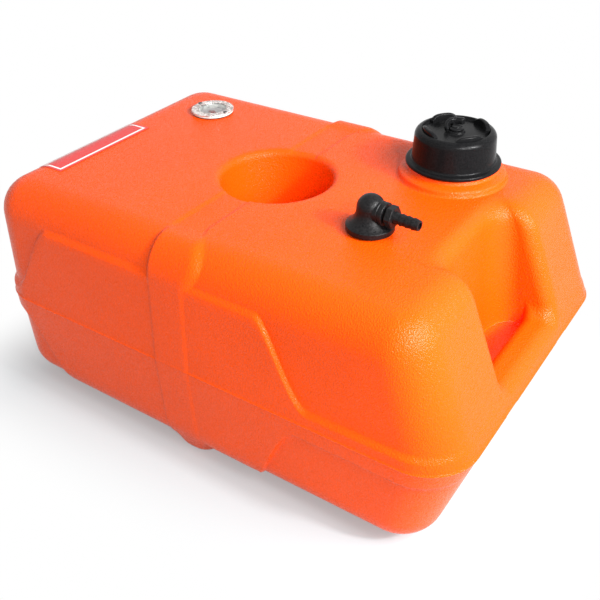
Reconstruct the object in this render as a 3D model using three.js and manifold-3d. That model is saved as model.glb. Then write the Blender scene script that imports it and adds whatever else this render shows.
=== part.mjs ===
// Portable outboard fuel tank: hollow blow-moulded body with a hand bar, screw cap with a
// vent, elbow fuel pick-up and float gauge. Millimetres, +Z up, base at Z = 0.
// The long side runs along X. The hand bar is at the +X end, the gauge at the -X end.
import * as THREE from 'three';
import { mergeVertices } from 'three/addons/utils/BufferGeometryUtils.js';
import Module from 'manifold-3d';

const wasm = await Module();
wasm.setup();

// Tank body. Heights are counted from the parting plane of the mould unless they say base.
const bodyLength = 500;
const bodyWidth = 332;
const partingHeight = 110;
const topHeight = 115;
const bottomDepth = 102;
const cornerRadius = 41;
const wall = 4;
const topFillet = 34;
const bottomFillet = 30;
const leastCorner = 20;
const farEndSlope = 0.02;
const barEndSlope = 0.4;
const sideSlope = 0.064;
const lowerBarEndSlope = 0.3;
const lowerSideSlope = 0.04;
const barEndProud = 0.5;

// Belt round the body and band across it: both stand proud of the skin.
const proud = 3.5;
const beltAbove = 9;
const beltBelow = 15;
const beltHigh = 82;
const beltLow = 94;
const beltRamp = 6;
const farRiseInset = { from: 30, to: 90 };
const barFallInset = { from: 126, to: 176 };
const lowerBarFallInset = { from: 138, to: 190 };
const bandCentre = -18;
const bandWidth = 33;
const bandProud = 3.8;
const bandRamp = 5;
const bandFlare = { crest: 3.5, foot: 11 };
const channelDepth = 1.2;
const channelRamp = 5;
const channelCorner = 12;
const channelReach = { far: 20.5, bar: 11 };
const channelFromSide = 45;
const bury = 1;
const beltRoot = 9;

// Shares of the band's height, and of the quarter turn of a rolled edge.
const bandFullnessShare = 0.7;
const flareGrowShares = { from: 1, to: 1 / 2 };
const flareEndShares = { from: 0, to: 5 / 18 };
const bandSinkShares = { from: 17 / 18, to: 5 / 9 };
const seamShare = 0.05;

// Feet under the body: one wide cross rib and a pad near each end.
const footDepth = partingHeight - bottomDepth;
const footFlare = 8;
const footCorner = 16;
const footHalfLength = 20;
const ribFromSide = 16;
const padFromSide = 71;
const farPadFromEnd = 85;
const barPadFromEnd = 110;

// Round well in the top.
const wellRadius = 52;
const wellFloorRadius = 37;
const wellDepth = 132;
const wellLip = 7;
const wellFloorFillet = 12;
const wellLeanShare = 1 / 18;

// Scoop and opening behind the hand bar.
const openingFromEnd = 60;
const barThickness = 34;
const scoopHalfWidth = 56;
const scoopSlope = 0.13;
const scoopCorner = 20;
const scoopFillet = 13;
const scoopLift = 0.6;
const barHalfHeight = 15;
const barRound = 9;
const webHalf = 1.5;
const webInset = 3;

// Filler neck.
const neckFromEnd = 132;
const neckFromSide = 79;
const neckBore = 27;
const neckRadius = 31.5;
const neckHeight = 36;
const collarRadius = 42;
const collarHeight = 10.5;
const collarFillet = 8;

// Filler cap. Heights are counted from the tank's top.
const gap = 0.3;
const threadGap = 0.8;
const capFlangeRadius = 43.3;
const capFlange = 4.2;
const skirtRadius = 37.4;
const skirtTaper = 1.6;
const capTop = 45;
const capRound = 4;
const capRoundShare = 2 / 9;
const capRimRadius = 31;
const capRecess = 3.5;
const capPlate = 2.7;
const gasketThickness = 2.2;
const gasketWidth = 5;
const lobeCount = 4;
const lobeOuter = 29.5;
const lobeThickness = 3.6;
const lobeHeight = 5;
const lobeSpan = 54;
const lobeTurn = 50;
const hubRadius = 8;
const hubHeight = 1.8;
const baffleRadius = 24;
const baffleThickness = 1.6;
const baffleHoleRadius = 2.5;
const baffleHoleCircle = 14;
const baffleHoleCount = 3;

// Vent screw.
const ventStem = 3;
const ventStemReach = 4;
const ventBore = 1;
const ventHeadRadius = 6.6;
const ventHead = 2;
const ventSealInner = 3.4;
const ventSealOuter = 5.6;
const ventSealThickness = 1.2;
const wingReach = 13.5;
const wingThickness = 3.2;
const wingHeight = 6;
const wingBow = 4.4;
const wingTurn = 75;

// Pick-up elbow. Heights are counted from the tank's top.
const elbowFromEnd = 145;
const elbowY = -41;
const elbowFlangeRadius = 19.2;
const elbowFlange = 3.4;
const elbowWaist = 11.4;
const elbowBell = 14.6;
const bellPower = 2.5;
const elbowTop = 30;
const domeShares = { from: 2 / 15, to: 14 / 15 };
const tailAxis = 18;
const tailTurn = -4;
const bossRadius = 9.6;
const bossReach = 15.5;
const fuelBore = 3;
const spigotRadius = 8;
const spigotReach = 14;
const pickupGasket = 1.4;
const insertRadius = 11;
const insertFlangeRadius = 14.5;
const insertFlange = 2.4;
const tailSealThickness = 1.4;
const tailSealRadius = 7.6;
const tailSpigot = 4.8;
const tailSpigotReach = 8;
const hexAcross = 17;
const hexLength = 6;
const tailRadius = 4.1;
const barbRadius = 5;
const barbCount = 4;
const barbPitch = 5.6;
const tailTip = 46;

// Dip tube and strainer.
const tubeRadius = 4;
const tubeSocket = 6;
const tubeGround = 12;
const strainerRadius = 6.6;
const strainerWall = 1.2;
const strainerLength = 26;
const strainerGround = 4;
const strainerSlots = 4;
const strainerSlotWidth = 3;

// Fuel gauge. Heights are counted from the tank's top.
const gaugeFromEnd = 84;
const gaugeFromSide = 78;
const gaugeHole = 17.6;
const cupRadius = 17;
const cupWall = 1.5;
const cupDepth = 11;
const gaugeFlangeRadius = 22.4;
const gaugeFlange = 1.3;
const gaugeGasket = 0.8;
const bezelRadius = 22.9;
const bezelThickness = 1.8;
const bezelBore = 16.4;
const bezelStep = 0.6;
const lensThickness = 0.8;
const lensRise = 1;
const dialThickness = 0.8;
const dialDrop = 4;
const pointerThickness = 0.7;
const pointerLength = 12.5;
const pointerTail = 5;
const pointerWidth = 1.6;
const pointerHub = 2.4;
const gaugeScrewCircle = 19.7;
const gaugeScrewRadius = 1.1;
const gaugeScrewHead = 2.2;
const gaugeScrewHeadHeight = 1.1;
const gaugeScrewReach = 7.2;
const gaugeScrewCount = 2;
const gaugeScrewTurn = -8;

// Float, its guide and the twisted strip.
const stripWidth = 5;
const stripThickness = 0.9;
const stripTwistPerMm = 1.55;
const stripBearing = 3.1;
const rodRadius = 1.4;
const rodSpacing = 20;
const rodSocket = 3;
const footRadius = 13;
const footThickness = 3;
const footGround = 6;
const floatRadius = 15;
const floatHeight = 34;
const floatBore = 4.4;
const rodClearance = 0.6;
const followerRadius = 6.5;
const followerThickness = 1.2;
const slotClearance = 0.35;

// Fineness of the round shapes.
const outerSteps = { corner: 8, fillet: 6, beltCorner: 7, ledge: 9, band: 5 };
const innerSteps = { corner: 4, fillet: 3, beltCorner: 3, ledge: 4, band: 2 };
const cornerSteps = 6;
const filletSteps = 5;
const roundSteps = 40;
const smallSteps = 24;
const tinySteps = 12;
const sideSteps = 3;
const stripSteps = 30;

const colours = {
  shell: [0.86, 0.27, 0.045, 0.5],
  black: [0.02, 0.02, 0.022, 0.3],
  satin: [0.03, 0.03, 0.032, 0.45],
  rubber: [0.035, 0.035, 0.035, 0.8],
  white: [0.82, 0.82, 0.78, 0.5],
  grey: [0.45, 0.46, 0.46, 0.5],
  lens: [0.85, 0.88, 0.9, 0.1],
  bright: [0.75, 0.75, 0.74, 0.25],
  brass: [0.7, 0.52, 0.22, 0.35],
  cork: [0.12, 0.12, 0.12, 0.7],
  red: [0.75, 0.06, 0.04, 0.4],
};

// Places that follow the body's length and width.
const farEnd = -bodyLength / 2;
const barEnd = bodyLength / 2;
const farRise = { from: farEnd + farRiseInset.from, to: farEnd + farRiseInset.to };
const barFall = { from: barEnd - barFallInset.from, to: barEnd - barFallInset.to };
const lowerBarFall = { from: barEnd - lowerBarFallInset.from, to: barEnd - lowerBarFallInset.to };
const openingFrom = barEnd - openingFromEnd;
const openingTo = barEnd - barThickness;
const neckX = barEnd - neckFromEnd;
const neckY = bodyWidth / 2 - neckFromSide;
const elbowX = barEnd - elbowFromEnd;
const gaugeX = farEnd + gaugeFromEnd;
const gaugeY = bodyWidth / 2 - gaugeFromSide;
const wellX = bandCentre;
const ribFoot = { x: bandCentre, halfWidth: bodyWidth / 2 - ribFromSide };
const farFoot = { x: farEnd + farPadFromEnd, halfWidth: bodyWidth / 2 - padFromSide };
const barFoot = { x: barEnd - barPadFromEnd, halfWidth: bodyWidth / 2 - padFromSide };

// Small helpers

const quarterTurn = Math.PI / 2;

const turn = (degrees) => THREE.MathUtils.degToRad(degrees);

function smoothShare(value, from, to) {
  const share = THREE.MathUtils.clamp((value - from) / (to - from), 0, 1);
  return share * share * (3 - 2 * share);
}

function spread(from, to, steps) {
  return Array.from({ length: steps + 1 }, (_, i) => from + ((to - from) * i) / steps);
}

function manifoldOf(geometry) {
  const bare = new THREE.BufferGeometry();
  bare.setAttribute('position', geometry.getAttribute('position'));
  if (geometry.index) bare.setIndex(geometry.index);
  const welded = mergeVertices(bare, 1e-4);
  return new wasm.Manifold(new wasm.Mesh({
    numProp: 3,
    vertProperties: Float32Array.from(welded.getAttribute('position').array),
    triVerts: Uint32Array.from(welded.index.array),
  }));
}

function geometryOf(manifold) {
  const mesh = manifold.getMesh();
  const geometry = new THREE.BufferGeometry();
  geometry.setAttribute('position', new THREE.BufferAttribute(Float32Array.from(mesh.vertProperties), 3));
  geometry.setIndex(Array.from(mesh.triVerts));
  geometry.computeVertexNormals();
  return geometry;
}

function joined(parts) {
  return parts.reduce((sum, part) => sum.add(part));
}

function without(body, tools) {
  return tools.reduce((rest, tool) => rest.subtract(tool), body);
}

// A solid through a stack of closed rings of points, with flat ends.
function lofted(rings) {
  const count = rings[0].length;
  const points = rings.flat();
  const faces = [];
  for (let r = 0; r + 1 < rings.length; r += 1) {
    for (let i = 0; i < count; i += 1) {
      const j = (i + 1) % count;
      const a = r * count + i;
      const b = r * count + j;
      const c = a + count;
      const d = b + count;
      faces.push(a, b, d, a, d, c);
    }
  }
  const middle = (ring) => ring.reduce((sum, p) => sum.add(p), new THREE.Vector3())
    .divideScalar(ring.length);
  const first = points.push(middle(rings[0])) - 1;
  const last = points.push(middle(rings[rings.length - 1])) - 1;
  const start = (rings.length - 1) * count;
  for (let i = 0; i < count; i += 1) {
    const j = (i + 1) % count;
    faces.push(first, j, i, last, start + i, start + j);
  }
  return solidOf(points, faces);
}

// A closed hoop: sections in order round a loop, each a closed ring of points.
function hooped(sections) {
  const count = sections[0].length;
  const points = sections.flat();
  const faces = [];
  for (let s = 0; s < sections.length; s += 1) {
    const next = (s + 1) % sections.length;
    for (let i = 0; i < count; i += 1) {
      const j = (i + 1) % count;
      const a = s * count + i;
      const b = s * count + j;
      const c = next * count + i;
      const d = next * count + j;
      faces.push(a, b, d, a, d, c);
    }
  }
  return solidOf(points, faces);
}

function solidOf(points, faces) {
  const geometry = new THREE.BufferGeometry().setFromPoints(points);
  geometry.setIndex(faces);
  const volume = signedVolume(geometry);
  if (volume < 0) {
    for (let i = 0; i < faces.length; i += 3) {
      [faces[i], faces[i + 1]] = [faces[i + 1], faces[i]];
    }
    geometry.setIndex(faces);
  }
  return manifoldOf(geometry);
}

function signedVolume(geometry) {
  const place = geometry.getAttribute('position');
  const [a, b, c] = [new THREE.Vector3(), new THREE.Vector3(), new THREE.Vector3()];
  let sum = 0;
  for (let i = 0; i < geometry.index.count; i += 3) {
    a.fromBufferAttribute(place, geometry.index.getX(i));
    b.fromBufferAttribute(place, geometry.index.getX(i + 1));
    c.fromBufferAttribute(place, geometry.index.getX(i + 2));
    sum += a.dot(b.cross(c));
  }
  return sum;
}

// A round solid about +Z from pairs of radius and height; the pairs close on themselves or on the axis.
function turned(pairs, steps = roundSteps) {
  const profile = pairs.map(([radius, height]) => new THREE.Vector2(radius, height));
  const onAxis = pairs[0][0] === 0 && pairs[pairs.length - 1][0] === 0;
  if (!onAxis) profile.push(profile[0].clone());
  const geometry = new THREE.LatheGeometry(profile, steps);
  geometry.rotateX(Math.PI / 2);
  const welded = mergeVertices(bareCopy(geometry), 1e-4);
  const list = Array.from(welded.index.array);
  const faces = [];
  for (let i = 0; i < list.length; i += 3) {
    const [a, b, c] = list.slice(i, i + 3);
    if (a !== b && b !== c && a !== c) faces.push(a, b, c);
  }
  const place = welded.getAttribute('position');
  const points = Array.from(
    { length: place.count },
    (_, i) => new THREE.Vector3().fromBufferAttribute(place, i),
  );
  return solidOf(points, faces);
}

function bareCopy(geometry) {
  const bare = new THREE.BufferGeometry();
  bare.setAttribute('position', geometry.getAttribute('position').clone());
  if (geometry.index) bare.setIndex(Array.from(geometry.index.array));
  return bare;
}

const rod = (radius, from, to, steps = smallSteps) => turned(
  [[0, from], [radius, from], [radius, to], [0, to]],
  steps,
);
const ringOf = (inner, outer, from, to, steps = smallSteps) => turned(
  [[inner, from], [outer, from], [outer, to], [inner, to]],
  steps,
);
const moved = (part, x, y, z = 0) => part.translate([x, y, z]);
const tippedToX = (part) => part.rotate([0, 90, 0]);

// Points of an arc about a centre; where it starts and ends is counted in quarter turns.
function quarter(centre, radius, from, to, steps = filletSteps) {
  return spread(from * quarterTurn, to * quarterTurn, steps).map((angle) => [
    centre[0] + radius * Math.cos(angle),
    centre[1] + radius * Math.sin(angle),
  ]);
}

// Skin of the body: how far out it is at a height, with a sloping wall and a rolled edge.

function wallEdge(atParting, slope, fillet, reach) {
  const lean = Math.hypot(1, slope);
  const centreHeight = reach - fillet;
  const centreOut = atParting - slope * centreHeight - fillet * lean;
  const tangent = centreHeight + (fillet * slope) / lean;
  const wallAngle = Math.atan(slope);
  return {
    tangent,
    at(height) {
      if (height <= tangent) return { out: atParting - slope * height, angle: wallAngle };
      const rise = Math.min(height - centreHeight, fillet);
      return { out: centreOut + Math.sqrt(fillet * fillet - rise * rise), angle: Math.asin(rise / fillet) };
    },
    // The same edge the other way round: how high it is at a place so far out.
    above(out) {
      if (out <= centreOut) return { height: reach, angle: Math.PI / 2 };
      if (out >= atParting - slope * tangent) return { height: (atParting - out) / slope, angle: wallAngle };
      const across = out - centreOut;
      const rise = Math.sqrt(fillet * fillet - across * across);
      return { height: centreHeight + rise, angle: Math.asin(rise / fillet) };
    },
  };
}

function skinEdges(upper, inset) {
  const reach = (upper ? topHeight : bottomDepth) - inset;
  const fillet = (upper ? topFillet : bottomFillet) - inset;
  const halfLength = bodyLength / 2 - inset;
  const halfWidth = bodyWidth / 2 - proud - inset;
  return {
    reach,
    far: wallEdge(halfLength - proud, farEndSlope, fillet, reach),
    bar: wallEdge(halfLength - barEndProud, upper ? barEndSlope : lowerBarEndSlope, fillet, reach),
    side: wallEdge(halfWidth, upper ? sideSlope : lowerSideSlope, fillet, reach),
  };
}

// The four corners of a plan, each with the angle that its arc starts at.
const planCorners = [[1, -1], [1, 1], [-1, 1], [-1, -1]].map(([sx, sy], i) => ({
  sx, sy, start: (i - 1) * quarterTurn,
}));

// Stations round the plan outline: points on its four corners and marks along its long sides.
function outlineStations(steps, marks, keepOffShare = 0) {
  const arc = ({ sx, sy, start }) => spread(keepOffShare, 1 - keepOffShare, steps).map((share) => ({
    kind: 'corner', sx, sy, angle: start + share * quarterTurn,
  }));
  const corner = bodyLength / 2 - cornerRadius;
  const straight = marks.filter((x) => Math.abs(x) < corner - beltRamp);
  const [barNear, barBack, farBack, farNear] = planCorners;
  return [
    ...arc(barNear),
    ...arc(barBack),
    ...[...straight].reverse().map((x) => ({ kind: 'long', x, sy: 1 })),
    ...arc(farBack),
    ...arc(farNear),
    ...straight.map((x) => ({ kind: 'long', x, sy: -1 })),
  ];
}

function skinPoint(station, height, edges, grow) {
  const level = Math.min(Math.abs(height), edges.reach);
  const side = edges.side.at(level);
  const out = side.out + grow * Math.cos(side.angle);
  const lift = Math.sign(height) * grow * Math.sin(side.angle);
  const inset = bodyWidth / 2 - proud - side.out;
  const radius = Math.max(cornerRadius - inset + grow, leastCorner);
  if (station.kind === 'long') {
    return new THREE.Vector3(station.x, station.sy * out, height + lift + partingHeight);
  }
  const endEdge = station.sx > 0 ? edges.bar : edges.far;
  const end = endEdge.at(level).out + grow * Math.cos(side.angle);
  const x = station.sx * (end - radius) + radius * Math.cos(station.angle);
  const y = station.sy * (out - radius) + radius * Math.sin(station.angle);
  return new THREE.Vector3(x, y, height + lift + partingHeight);
}

function edgeHeights(edges, steps, keepOffShare = 0) {
  const first = edges.side.tangent;
  const fillet = edges.reach - first;
  return spread(keepOffShare, 1 - keepOffShare, steps)
    .map((share) => first + fillet * Math.sin(share * quarterTurn));
}

// Heights from the body's bottom to its top, with rows on both rolled edges.
function skinHeights(lower, upper, steps) {
  return [
    ...edgeHeights(lower, steps).map((height) => -height).reverse(),
    0,
    ...edgeHeights(upper, steps),
  ];
}

function skin(inset, fineness) {
  const stations = outlineStations(fineness.corner, []);
  const upper = skinEdges(true, inset);
  const lower = skinEdges(false, inset);
  return lofted(skinHeights(lower, upper, fineness.fillet).map((height) => stations.map(
    (station) => skinPoint(station, height, height < 0 ? lower : upper, 0),
  )));
}

// Belt: its upper and lower ledges rise and fall along the body's sides.

function ledgeHeights(x) {
  const risen = smoothShare(x, farRise.from, farRise.to);
  const upperShare = Math.min(risen, smoothShare(x, barFall.from, barFall.to));
  const lowerShare = Math.min(risen, smoothShare(x, lowerBarFall.from, lowerBarFall.to));
  return {
    above: beltAbove + (beltHigh - beltAbove) * upperShare,
    below: beltBelow + (beltLow - beltBelow) * lowerShare,
  };
}

function beltMarks(steps) {
  return [
    (farRise.to + cornerRadius - bodyLength / 2) / 2,
    ...spread(farRise.to, lowerBarFall.to, sideSteps),
    ...spread(lowerBarFall.to, barFall.from, steps).slice(1),
  ];
}

function belt(inset, fineness) {
  const upper = skinEdges(true, inset);
  const lower = skinEdges(false, inset);
  const beltProud = (station) => {
    const nearBar = station.kind === 'corner' && station.sx > 0;
    const facing = nearBar ? Math.max(Math.cos(station.angle), 0) : 0;
    return proud + (barEndProud - proud) * facing;
  };
  return hooped(outlineStations(fineness.beltCorner, beltMarks(fineness.ledge), seamShare).map((station) => {
    const at = (height, grow) => skinPoint(station, height, height < 0 ? lower : upper, grow);
    const ledge = ledgeHeights(at(0, 0).x);
    const out = beltProud(station);
    return [
      at(-ledge.below, -beltRoot),
      at(-ledge.below - beltRamp, -bury),
      at(-ledge.below, out),
      at(0, out),
      at(ledge.above, out),
      at(ledge.above + beltRamp, -bury),
      at(ledge.above, -beltRoot),
    ];
  }));
}

// Band: a hoop of skin across the body, in line with the well. It sinks into the top,
// and on the shoulder its edge towards the bar flares out.
function band(inset, fineness) {
  const upper = skinEdges(true, inset);
  const lower = skinEdges(false, inset);
  const heights = [
    ...edgeHeights(lower, fineness.band, seamShare).map((height) => -height).reverse(),
    ...edgeHeights(upper, fineness.band, seamShare),
  ];
  const section = (x, grown, flare) => {
    const point = (height, side) => {
      const edges = height < 0 ? lower : upper;
      const edge = edges.side.at(Math.min(Math.abs(height), edges.reach));
      const bend = height < 0 ? 0 : edge.angle / quarterTurn;
      const raised = smoothShare(bend, bandSinkShares.from, bandSinkShares.to);
      const flared = smoothShare(bend, flareGrowShares.from, flareGrowShares.to)
        * smoothShare(bend, flareEndShares.from, flareEndShares.to);
      const grow = (grown + bury) * raised - bury;
      const lift = Math.sign(height) * grow * Math.sin(edge.angle);
      return new THREE.Vector3(
        x + flare * flared,
        side * (edge.out + grow * Math.cos(edge.angle)),
        partingHeight + height + lift,
      );
    };
    return [
      ...heights.map((height) => point(height, 1)),
      ...[...heights].reverse().map((height) => point(height, -1)),
    ];
  };
  const from = bandCentre - bandWidth / 2;
  const to = bandCentre + bandWidth / 2;
  return lofted([
    section(from - bandRamp, -bury, 0),
    section(from, bandProud, 0),
    section(to, bandProud, bandFlare.crest),
    section(to + bandRamp / 2, bandProud * bandFullnessShare, (bandFlare.crest + bandFlare.foot) / 2),
    section(to + bandRamp, -bury, bandFlare.foot),
  ]);
}

function moulding(inset, fineness) {
  return joined([skin(inset, fineness), belt(inset, fineness), band(inset, fineness)]);
}

// Feet

function roundedPlan(x0, x1, halfWidth, radius, height, steps = cornerSteps) {
  const round = Math.min(radius, (x1 - x0) / 2 - bury);
  return planCorners.flatMap(({ sx, sy, start }) => spread(0, quarterTurn, steps).map((angle) => {
    const x = sx > 0 ? x1 : x0;
    return new THREE.Vector3(
      x - sx * round + round * Math.cos(start + angle),
      sy * (halfWidth - round) + round * Math.sin(start + angle),
      height,
    );
  }));
}

function foot({ x, halfWidth }) {
  const plan = (grow, height) => roundedPlan(
    x - footHalfLength - grow,
    x + footHalfLength + grow,
    halfWidth + grow,
    footCorner + grow,
    height,
    filletSteps,
  );
  const root = footDepth + footFlare;
  return lofted([
    plan(0, 0),
    plan(footDepth / 4, footDepth / 2),
    plan(footFlare, footDepth + footDepth / 4),
    plan(footFlare, root),
  ]);
}

// Well, and the shallow channel across the top that it stands in

function topChannel() {
  const top = partingHeight + topHeight;
  const plan = (grow, height) => roundedPlan(
    bandCentre - channelReach.far + channelRamp / 2 - grow,
    bandCentre + channelReach.bar - channelRamp / 2 + grow,
    bodyWidth / 2 - channelFromSide - channelRamp / 2 + grow,
    channelCorner,
    height,
    filletSteps - 2,
  );
  return lofted([
    plan(-channelRamp / 2, top - channelDepth),
    plan(channelRamp / 2, top + bury),
  ]);
}

function wellShape(grow) {
  const top = partingHeight + topHeight + scoopLift;
  const floor = partingHeight + topHeight - wellDepth - grow;
  const rim = wellRadius + wellLip + grow;
  const lip = grow > 0 ? [[wellRadius + grow, top - wellLip]]
    : quarter([rim, top - wellLip], wellLip, 2, 1, filletSteps);
  const low = wellFloorRadius + grow;
  const round = wellFloorFillet;
  return turned([
    [0, floor],
    ...quarter([low - round, floor + round], round, -1, -wellLeanShare, filletSteps - 2),
    ...lip,
    [grow > 0 ? wellRadius + grow : rim, top + wellLip],
    [0, top + wellLip],
  ], grow > 0 ? smallSteps : roundSteps);
}

const well = (grow) => moved(wellShape(grow), wellX, 0);

// Hand cut: the scoop over the bar, the opening behind it and the scoop under it

const scoopBack = (height) => openingFrom - scoopSlope * Math.abs(height);

function scoopRing(height, to, grow, inset) {
  return roundedPlan(
    scoopBack(height) - grow + inset,
    to - inset,
    scoopHalfWidth + grow - inset,
    scoopCorner + grow - inset,
    partingHeight + height,
    filletSteps,
  );
}

// Rows of one half of the cut, from the parting plane outwards.
function scoopRows(reach, grow) {
  const outside = bodyLength / 2 + footFlare;
  const barTop = barHalfHeight - grow;
  const barRim = spread(quarterTurn, 0, filletSteps - 2).map((angle) => ({
    height: barTop - barRound + barRound * Math.cos(angle),
    to: openingTo + grow + barRound * (1 - Math.sin(angle)),
    inset: 0,
  }));
  const web = grow > 0 ? [] : [
    { height: webHalf, to: openingTo, inset: webInset },
    { height: webHalf * 2, to: openingTo, inset: 0 },
  ];
  return [
    ...web,
    ...barRim,
    { height: barTop + webHalf, to: outside, inset: 0 },
    { height: reach + (grow > 0 ? 0 : wall), to: outside, inset: 0 },
  ];
}

function handCut(grow) {
  const upper = scoopRows(topHeight, grow);
  const lower = scoopRows(bottomDepth, grow).map((row) => ({ ...row, height: -row.height }));
  return lofted([...lower.reverse(), ...upper].map(
    (row) => scoopRing(row.height, row.to, grow, row.inset),
  ));
}

// Rolls over the edge of a scoop: up one cheek, round behind the opening and down the other.
function scoopEdge(upper) {
  const edges = skinEdges(upper, 0);
  const back = scoopBack(edges.reach);
  const start = edges.bar.at(barHalfHeight - webInset).out;
  const cornerX = back + scoopCorner;
  const cornerY = scoopHalfWidth - scoopCorner;
  const cheek = spread(start, cornerX, filletSteps + 1).slice(0, -1)
    .map((x) => ({ x, y: scoopHalfWidth, away: quarterTurn }));
  const bend = spread(quarterTurn, Math.PI, filletSteps).map((away) => ({
    x: cornerX + scoopCorner * Math.cos(away),
    y: cornerY + scoopCorner * Math.sin(away),
    away,
  }));
  const half = [...cheek, ...bend];
  const path = [...half, ...half.map(({ x, y, away }) => ({ x, y: -y, away: -away })).reverse()];
  const sign = upper ? 1 : -1;
  return lofted(path.map(({ x, y, away }) => {
    const { height, angle } = edges.bar.above(x);
    const normal = new THREE.Vector3(Math.cos(angle), 0, Math.sin(angle));
    const side = new THREE.Vector3(Math.cos(away), Math.sin(away), 0);
    side.addScaledVector(normal, -side.dot(normal)).normalize();
    const at = (across, depth) => {
      const point = new THREE.Vector3(x, y, height)
        .addScaledVector(side, across)
        .addScaledVector(normal, depth);
      point.z = partingHeight + sign * point.z;
      return point;
    };
    const arc = quarter([scoopFillet, scoopLift - scoopFillet], scoopFillet, 1, 2, filletSteps - 1);
    return [
      ...arc.map(([across, depth]) => at(across, depth)),
      at(-bury, scoopLift - scoopFillet),
      at(-bury, proud + bury),
      at(scoopFillet, proud + bury),
    ];
  }));
}

const handCuts = () => [handCut(0), scoopEdge(true), scoopEdge(false)];

// Neck

function neck() {
  const base = [collarRadius + collarFillet, -bury];
  return moved(turned([
    [neckBore - bury, -wall - bury],
    [collarRadius - bury, -wall - bury],
    [base[0], -bury],
    ...quarter([collarRadius + collarFillet, collarFillet], collarFillet, 3, 2, filletSteps).slice(1),
    [collarRadius - bury / 2, collarHeight],
    [neckRadius, collarHeight],
    [neckRadius, neckHeight],
    [neckBore - bury, neckHeight],
  ]), neckX, neckY, partingHeight + topHeight);
}

function tankShell() {
  const top = partingHeight + topHeight;
  const outside = joined([moulding(0, outerSteps), neck(), foot(ribFoot), foot(farFoot), foot(barFoot)]);
  const hollow = without(moulding(wall, innerSteps), [
    well(wall), handCut(wall),
  ]);
  const through = neckHeight + wall;
  const bores = [
    moved(rod(neckBore, -wall * 2, through, roundSteps), neckX, neckY, top),
    moved(rod(insertRadius + gap, -wall * 2, through), elbowX, elbowY, top),
    moved(rod(gaugeHole, -wall * 2, through), gaugeX, gaugeY, top),
    gaugeScrewBodies(gaugeScrewRadius + gap, -wall, through),
  ];
  return without(outside, [hollow, well(0), topChannel(), ...handCuts(), ...bores]);
}

// Filler cap and its inner parts. Their origin is on the neck's axis at the tank's top.

const capSkirtFoot = collarHeight + gap * 2;
const gasketFoot = neckHeight + gap;
const capCeiling = gasketFoot + gasketThickness + gap;
const capFloor = capCeiling + capPlate;
const hubTop = capFloor + hubHeight;

function lobes() {
  const plan = [];
  const inner = lobeOuter - lobeThickness;
  for (let i = 0; i < lobeCount; i += 1) {
    const middle = lobeTurn + (360 / lobeCount) * i;
    const arc = (radius, from, to) => spread(from, to, filletSteps).map((angle) => new THREE.Vector2(
      radius * Math.cos(turn(angle)),
      radius * Math.sin(turn(angle)),
    ));
    const shape = new THREE.Shape([
      ...arc(lobeOuter, middle - lobeSpan / 2, middle + lobeSpan / 2),
      ...arc(inner, middle + lobeSpan / 2, middle - lobeSpan / 2),
    ]);
    const solid = new THREE.ExtrudeGeometry(shape, { depth: lobeHeight + bury, bevelEnabled: false });
    plan.push(moved(manifoldOf(solid), 0, 0, capFloor - bury));
  }
  return joined(plan);
}

function fillerCap() {
  const body = turned([
    [neckRadius + threadGap, capSkirtFoot],
    [capFlangeRadius - gap, capSkirtFoot],
    [capFlangeRadius, capSkirtFoot + capFlange / 4],
    [capFlangeRadius, capSkirtFoot + capFlange - capFlange / 4],
    [capFlangeRadius - capFlange / 4, capSkirtFoot + capFlange],
    [skirtRadius + capFlange / 4, capSkirtFoot + capFlange],
    [skirtRadius, capSkirtFoot + capFlange * 2],
    [skirtRadius - skirtTaper, capTop - capRound],
    ...quarter(
      [skirtRadius - skirtTaper - capRound, capTop - capRound],
      capRound,
      capRoundShare,
      1,
      filletSteps - 2,
    ),
    [capRimRadius, capTop],
    [capRimRadius - capRecess / 4, capFloor],
    [hubRadius, capFloor],
    [hubRadius, hubTop],
    [ventStem + gap, hubTop],
    [ventStem + gap, capCeiling],
    [neckRadius + threadGap, capCeiling],
  ]);
  const socket = ringOf(ventStem, ventSealOuter + gap, hubTop - ventSealThickness, hubTop + bury);
  return without(body.add(lobes()), [socket]);
}

const capGasket = () => ringOf(
  neckRadius - gasketWidth,
  neckRadius,
  gasketFoot,
  gasketFoot + gasketThickness,
  roundSteps,
);

function ventBaffle() {
  const top = capCeiling - gap;
  const plate = ringOf(ventStem + threadGap, baffleRadius, top - baffleThickness, top);
  const holes = [];
  for (let i = 0; i < baffleHoleCount; i += 1) {
    const angle = turn((360 / baffleHoleCount) * i);
    holes.push(moved(
      rod(baffleHoleRadius, top - baffleThickness - bury, top + bury, tinySteps),
      baffleHoleCircle * Math.cos(angle),
      baffleHoleCircle * Math.sin(angle),
    ));
  }
  return without(plate, holes);
}

const ventHeadFoot = hubTop + gap;

function wingPlan() {
  const middle = spread(-1, 1, filletSteps * 2).map((share) => new THREE.Vector2(
    share * (wingReach - wingThickness / 2),
    wingBow * Math.sin(Math.PI * share),
  ));
  const side = (sign) => middle.map((point, i) => {
    const before = middle[Math.max(i - 1, 0)];
    const after = middle[Math.min(i + 1, middle.length - 1)];
    const along = after.clone().sub(before).normalize();
    return new THREE.Vector2(
      point.x - (sign * along.y * wingThickness) / 2,
      point.y + (sign * along.x * wingThickness) / 2,
    );
  });
  return new THREE.Shape([...side(-1), ...side(1).reverse()]);
}

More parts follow.
